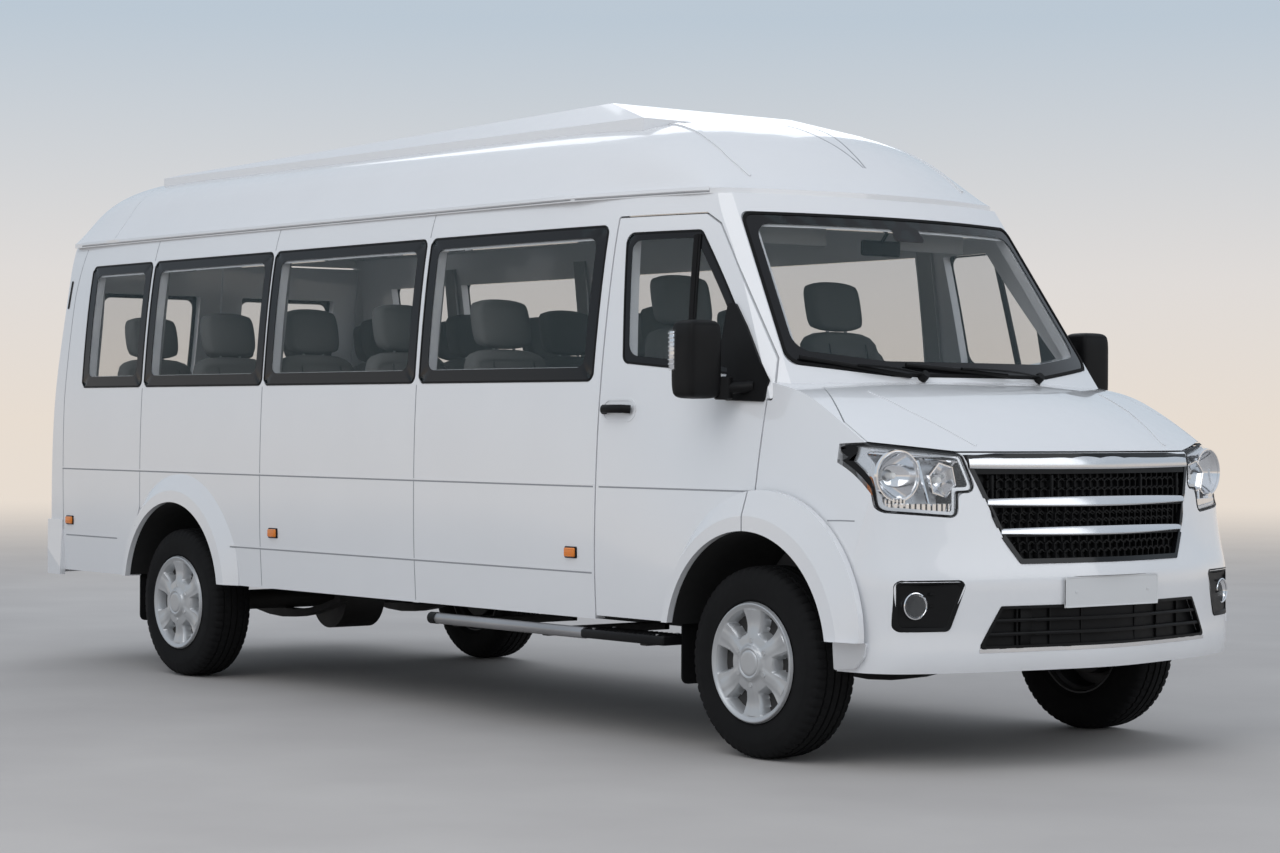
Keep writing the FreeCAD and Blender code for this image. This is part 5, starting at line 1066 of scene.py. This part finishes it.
def cushion(low, high, finish, crown=0.014, grid=10, power=5.0):
    """A stuffed block with soft edges and a crown."""
    low, high = Vector(low), Vector(high)
    middle = (low + high) / 2
    half = (high - low) / 2
    made = Shape()
    for axis in range(3):
        for hand in (-1, 1):
            others = [other for other in range(3) if other != axis]
            spots = [sin((step / grid - 0.5) * pi * 0.98) / sin(0.49 * pi) for step in range(grid + 1)]
            points = []
            for row in spots:
                for column in spots:
                    cube = [0, 0, 0]
                    cube[axis] = hand
                    cube[others[0]] = row
                    cube[others[1]] = column
                    norm = sum(abs(part) ** power for part in cube) ** (1 / power)
                    swell = crown * (1 - cube[others[0]] ** 2) * (1 - cube[others[1]] ** 2)
                    place = [part / norm * size for part, size in zip(cube, half)]
                    place[axis] += hand * (swell - crown * 0.6)
                    points.append(middle + Vector(place))
            starts = [row * (grid + 1) + column for row in range(grid) for column in range(grid)]
            made.add(points, [[at, at + 1, at + grid + 2, at + grid + 1] for at in starts], finish)
    return made


CAB_SEAT_RISE = 0.085


def seats():
    backs = Shape()
    cushions = Shape()
    for low, high in loose_boxes("seat_cushions"):
        cushions.join(cushion(low, high, CLOTH))
        width = high.y - low.y
        for hand in (-1, 1):
            y = (low.y + high.y) / 2 + hand * width * 0.27
            cushions.tube([(low.x + 0.05, y, high.z + 0.001), (high.x - 0.05, y, high.z + 0.001)], 0.0035,
                          PIPING, 6)
    for low, high in loose_boxes("seat_backs"):
        lean = radians(12)
        thick = 0.120
        rise = high.z - low.z + (CAB_SEAT_RISE if low.x > 1.2 else 0)
        head = rise - 0.200
        shear = Matrix(((1, 0, -tan(lean), 0), (0, 1, 0, 0), (0, 0, 1, 0), (0, 0, 0, 1)))
        foot = Vector((high.x, (low.y + high.y) / 2, low.z))
        move = Matrix.Translation(foot) @ shear
        width = (high.y - low.y) / 2
        body = cushion((-thick, -width, 0.0), (0.0, width, head - 0.02), CLOTH, power=6.0)
        for hand in (-1, 1):
            body.join(cushion((-thick * 0.85, hand * width * 0.78 - width * 0.2, 0.06),
                              (0.024, hand * width * 0.78 + width * 0.2, head - 0.10), CLOTH, grid=8))
            body.tube([(0.002, hand * width * 0.52, 0.05), (0.010, hand * width * 0.52, head * 0.5),
                       (0.002, hand * width * 0.50, head - 0.07)], 0.0035, PIPING, 6)
            body.tube([(-thick * 0.5, hand * 0.055, head - 0.05), (-thick * 0.5, hand * 0.055, head + 0.05)],
                      0.007, STEEL, 10)
        body.tube([(0.006, -width * 0.5, head * 0.62), (0.010, 0, head * 0.60),
                   (0.006, width * 0.5, head * 0.62)], 0.0035, PIPING, 6)
        body.join(cushion((-thick * 0.95, -0.140, head - 0.008), (-0.006, 0.140, rise + 0.004), CLOTH,
                          power=6.0))
        backs.join(body, move)
    cushions.piece("seat_squabs", "root", "seat_cushions", sharp=60, padded=0.6)
    backs.piece("seat_backrests", "root", "seat_backs", sharp=60, padded=0.6)


def cab():
    dash = Shape()
    dash.block((2.165, 0.230, 1.375), (2.330, 0.620, 1.440), DASH, bevel=0.030, segments=4)
    dash.block((2.158, 0.250, 1.385), (2.175, 0.600, 1.425), BORDER, bevel=0.006)
    dash.block((2.130, -0.150, 1.090), (2.200, 0.150, 1.370), DASH, bevel=0.020, segments=3)
    dash.block((2.124, -0.110, 1.230), (2.140, 0.110, 1.340), BORDER, bevel=0.004)
    for y in (-0.70, -0.20, 0.20, 0.70):
        for step in range(4):
            dash.slat((2.128, y - 0.05, 1.330 - 0.014 * step), (2.150, y + 0.05, 1.334 - 0.014 * step),
                      BORDER)
    for y in (-0.04, 0.0, 0.04):
        dash.lathe([(0, 0.014), (0.012, 0.012), (0.014, 0.001)], (2.128, y, 1.170), (-1, 0, 0), BLACK, 20)
    for hand in (-1, 1):
        dash.block((2.00, hand * 0.40 - 0.19, 2.02), (2.02, hand * 0.40 + 0.19, 2.13), LINING, bevel=0.008)
    dash.block((2.11, -0.11, 1.985), (2.13, 0.11, 2.050), BLACK, bevel=0.012, segments=3)
    dash.tube([(2.125, 0, 2.04), (2.16, 0, 2.08)], 0.008, BLACK, 10)
    dash.piece("dashboard_details")
    steer = Shape()
    centre = Vector((2.010, 0.420, 1.330))
    axis = Vector((-sin(radians(55)), 0, cos(radians(55))))
    side = Vector((0, 1, 0))
    up = axis.cross(side) * -1
    ring = [centre + 0.200 * (side * east + up * north) for east, north in turns(64)]
    steer.tube(ring + ring[:2], 0.0168, BLACK, 12)
    steer.lathe([(0.0, 0.075), (0.022, 0.070), (0.034, 0.045), (0.036, 0.001)], centre, axis, BLACK, 40)
    steer.piece("steering_wheel_cover", "steering_wheel")


def lining():
    """Grey lining of the posts and the floor mat's aisle strip."""
    made = Shape()
    for x in (0.220, -1.088, -2.268, 1.500):
        for hand in (-1, 1):
            face = RIGHT if hand < 0 else LEFT
            foot = face.at(x, 1.44)
            top = face.at(x, 2.12)
            rings = []
            for y, z in ((foot.y - hand * 0.056, 1.42), (top.y - hand * 0.056, 2.13)):
                rings.append([(x + off, y - deep, z)
                              for off, deep in ((-0.045, 0), (0.045, 0), (0.045, hand * 0.012),
                                                (-0.045, hand * 0.012))])
            made.loft(rings, LINING)
    made.slat((-3.05, -0.13, 0.7003), (1.35, 0.13, 0.7045), MAT)
    made.piece("lining")


# Surroundings

FLOOR_HALF = 400.0
FADE_FROM = 6.0
FADE_TO = 34.0
HORIZON = (0.80, 0.72, 0.64)
SKY = ((0.0, HORIZON), (0.05, (0.74, 0.71, 0.69)), (0.14, (0.50, 0.58, 0.66)), (0.60, (0.60, 0.65, 0.72)))
LIGHTS = (
    ("key_light", (4.0, -8.0, 8.0), 8.0, 300.0, (1.0, 0.98, 0.96)),
    ("front_light", (11.0, 3.0, 5.0), 6.0, 120.0, (1.0, 0.99, 0.98)),
    ("back_light", (-8.0, 6.0, 7.0), 7.0, 150.0, (0.95, 0.97, 1.0)),
)


def set_floor():
    """A pale floor that fades into the backdrop far from the object."""
    floor_mesh = bpy.data.meshes.new("floor_plane")
    corners = [(x * FLOOR_HALF, y * FLOOR_HALF, 0) for x, y in ((-1, -1), (1, -1), (1, 1), (-1, 1))]
    floor_mesh.from_pydata(corners, [], [(0, 1, 2, 3)])
    plane = bpy.data.objects.new("studio_floor", floor_mesh)
    bpy.context.scene.collection.objects.link(plane)
    material, tree, shader = new_material("floor_paint")
    patches = spread(tree, object_noise(tree, 0.9, 6.0), 0, 1)
    tone = blend_colours(tree, patches, (0.45, 0.425, 0.41), (0.51, 0.485, 0.465))
    tree.links.new(tone, shader.inputs["Base Color"])
    shader.inputs["Roughness"].default_value = 0.8
    coords = tree.nodes.new("ShaderNodeTexCoord")
    away = tree.nodes.new("ShaderNodeVectorMath")
    away.operation = "LENGTH"
    tree.links.new(coords.outputs["Object"], away.inputs[0])
    fade = tree.nodes.new("ShaderNodeMapRange")
    fade.interpolation_type = "SMOOTHSTEP"
    set_inputs(fade, {"From Min": FADE_FROM, "From Max": FADE_TO})
    tree.links.new(away.outputs["Value"], fade.inputs["Value"])
    glow = tree.nodes.new("ShaderNodeEmission")
    glow.inputs["Color"].default_value = (*HORIZON, 1)
    mix = tree.nodes.new("ShaderNodeMixShader")
    tree.links.new(fade.outputs["Result"], mix.inputs["Fac"])
    tree.links.new(shader.outputs["BSDF"], mix.inputs[1])
    tree.links.new(glow.outputs["Emission"], mix.inputs[2])
    tree.links.new(mix.outputs["Shader"], tree.nodes["Material Output"].inputs["Surface"])
    plane.data.materials.append(material)


def set_light():
    world = bpy.data.worlds.new("studio")
    bpy.context.scene.world = world
    world.use_nodes = True
    tree = world.node_tree
    background = tree.nodes["Background"]
    coords = tree.nodes.new("ShaderNodeTexCoord")
    split = tree.nodes.new("ShaderNodeSeparateXYZ")
    tree.links.new(coords.outputs["Generated"], split.inputs["Vector"])
    ramp = tree.nodes.new("ShaderNodeValToRGB")
    stops = ramp.color_ramp.elements
    stops.remove(stops[1])
    for position, colour in SKY:
        stop = stops.new(position) if position else stops[0]
        stop.position = position
        stop.color = (*colour, 1)
    tree.links.new(split.outputs["Z"], ramp.inputs["Fac"])
    tree.links.new(ramp.outputs["Color"], background.inputs["Color"])
    background.inputs["Strength"].default_value = 1.0
    for name, place, size, power, tone in LIGHTS:
        data = bpy.data.lights.new(name, "AREA")
        data.size = size
        data.energy = power
        data.color = tone
        lamp = bpy.data.objects.new(name, data)
        bpy.context.scene.collection.objects.link(lamp)
        lamp.location = place
        lamp.rotation_euler = (Vector((0, 0, 1)) - Vector(place)).to_track_quat("-Z", "Y").to_euler()
    bpy.context.scene.view_settings.view_transform = "Standard"


set_camera()
dress_nodes()
windows()
wheels()
front_end()
headlamps()
seams()
arches()
markers()
mirror()
wipers()
step_and_flaps()
plates()
tail()
seats()
cab()
lining()
set_floor()
set_light()
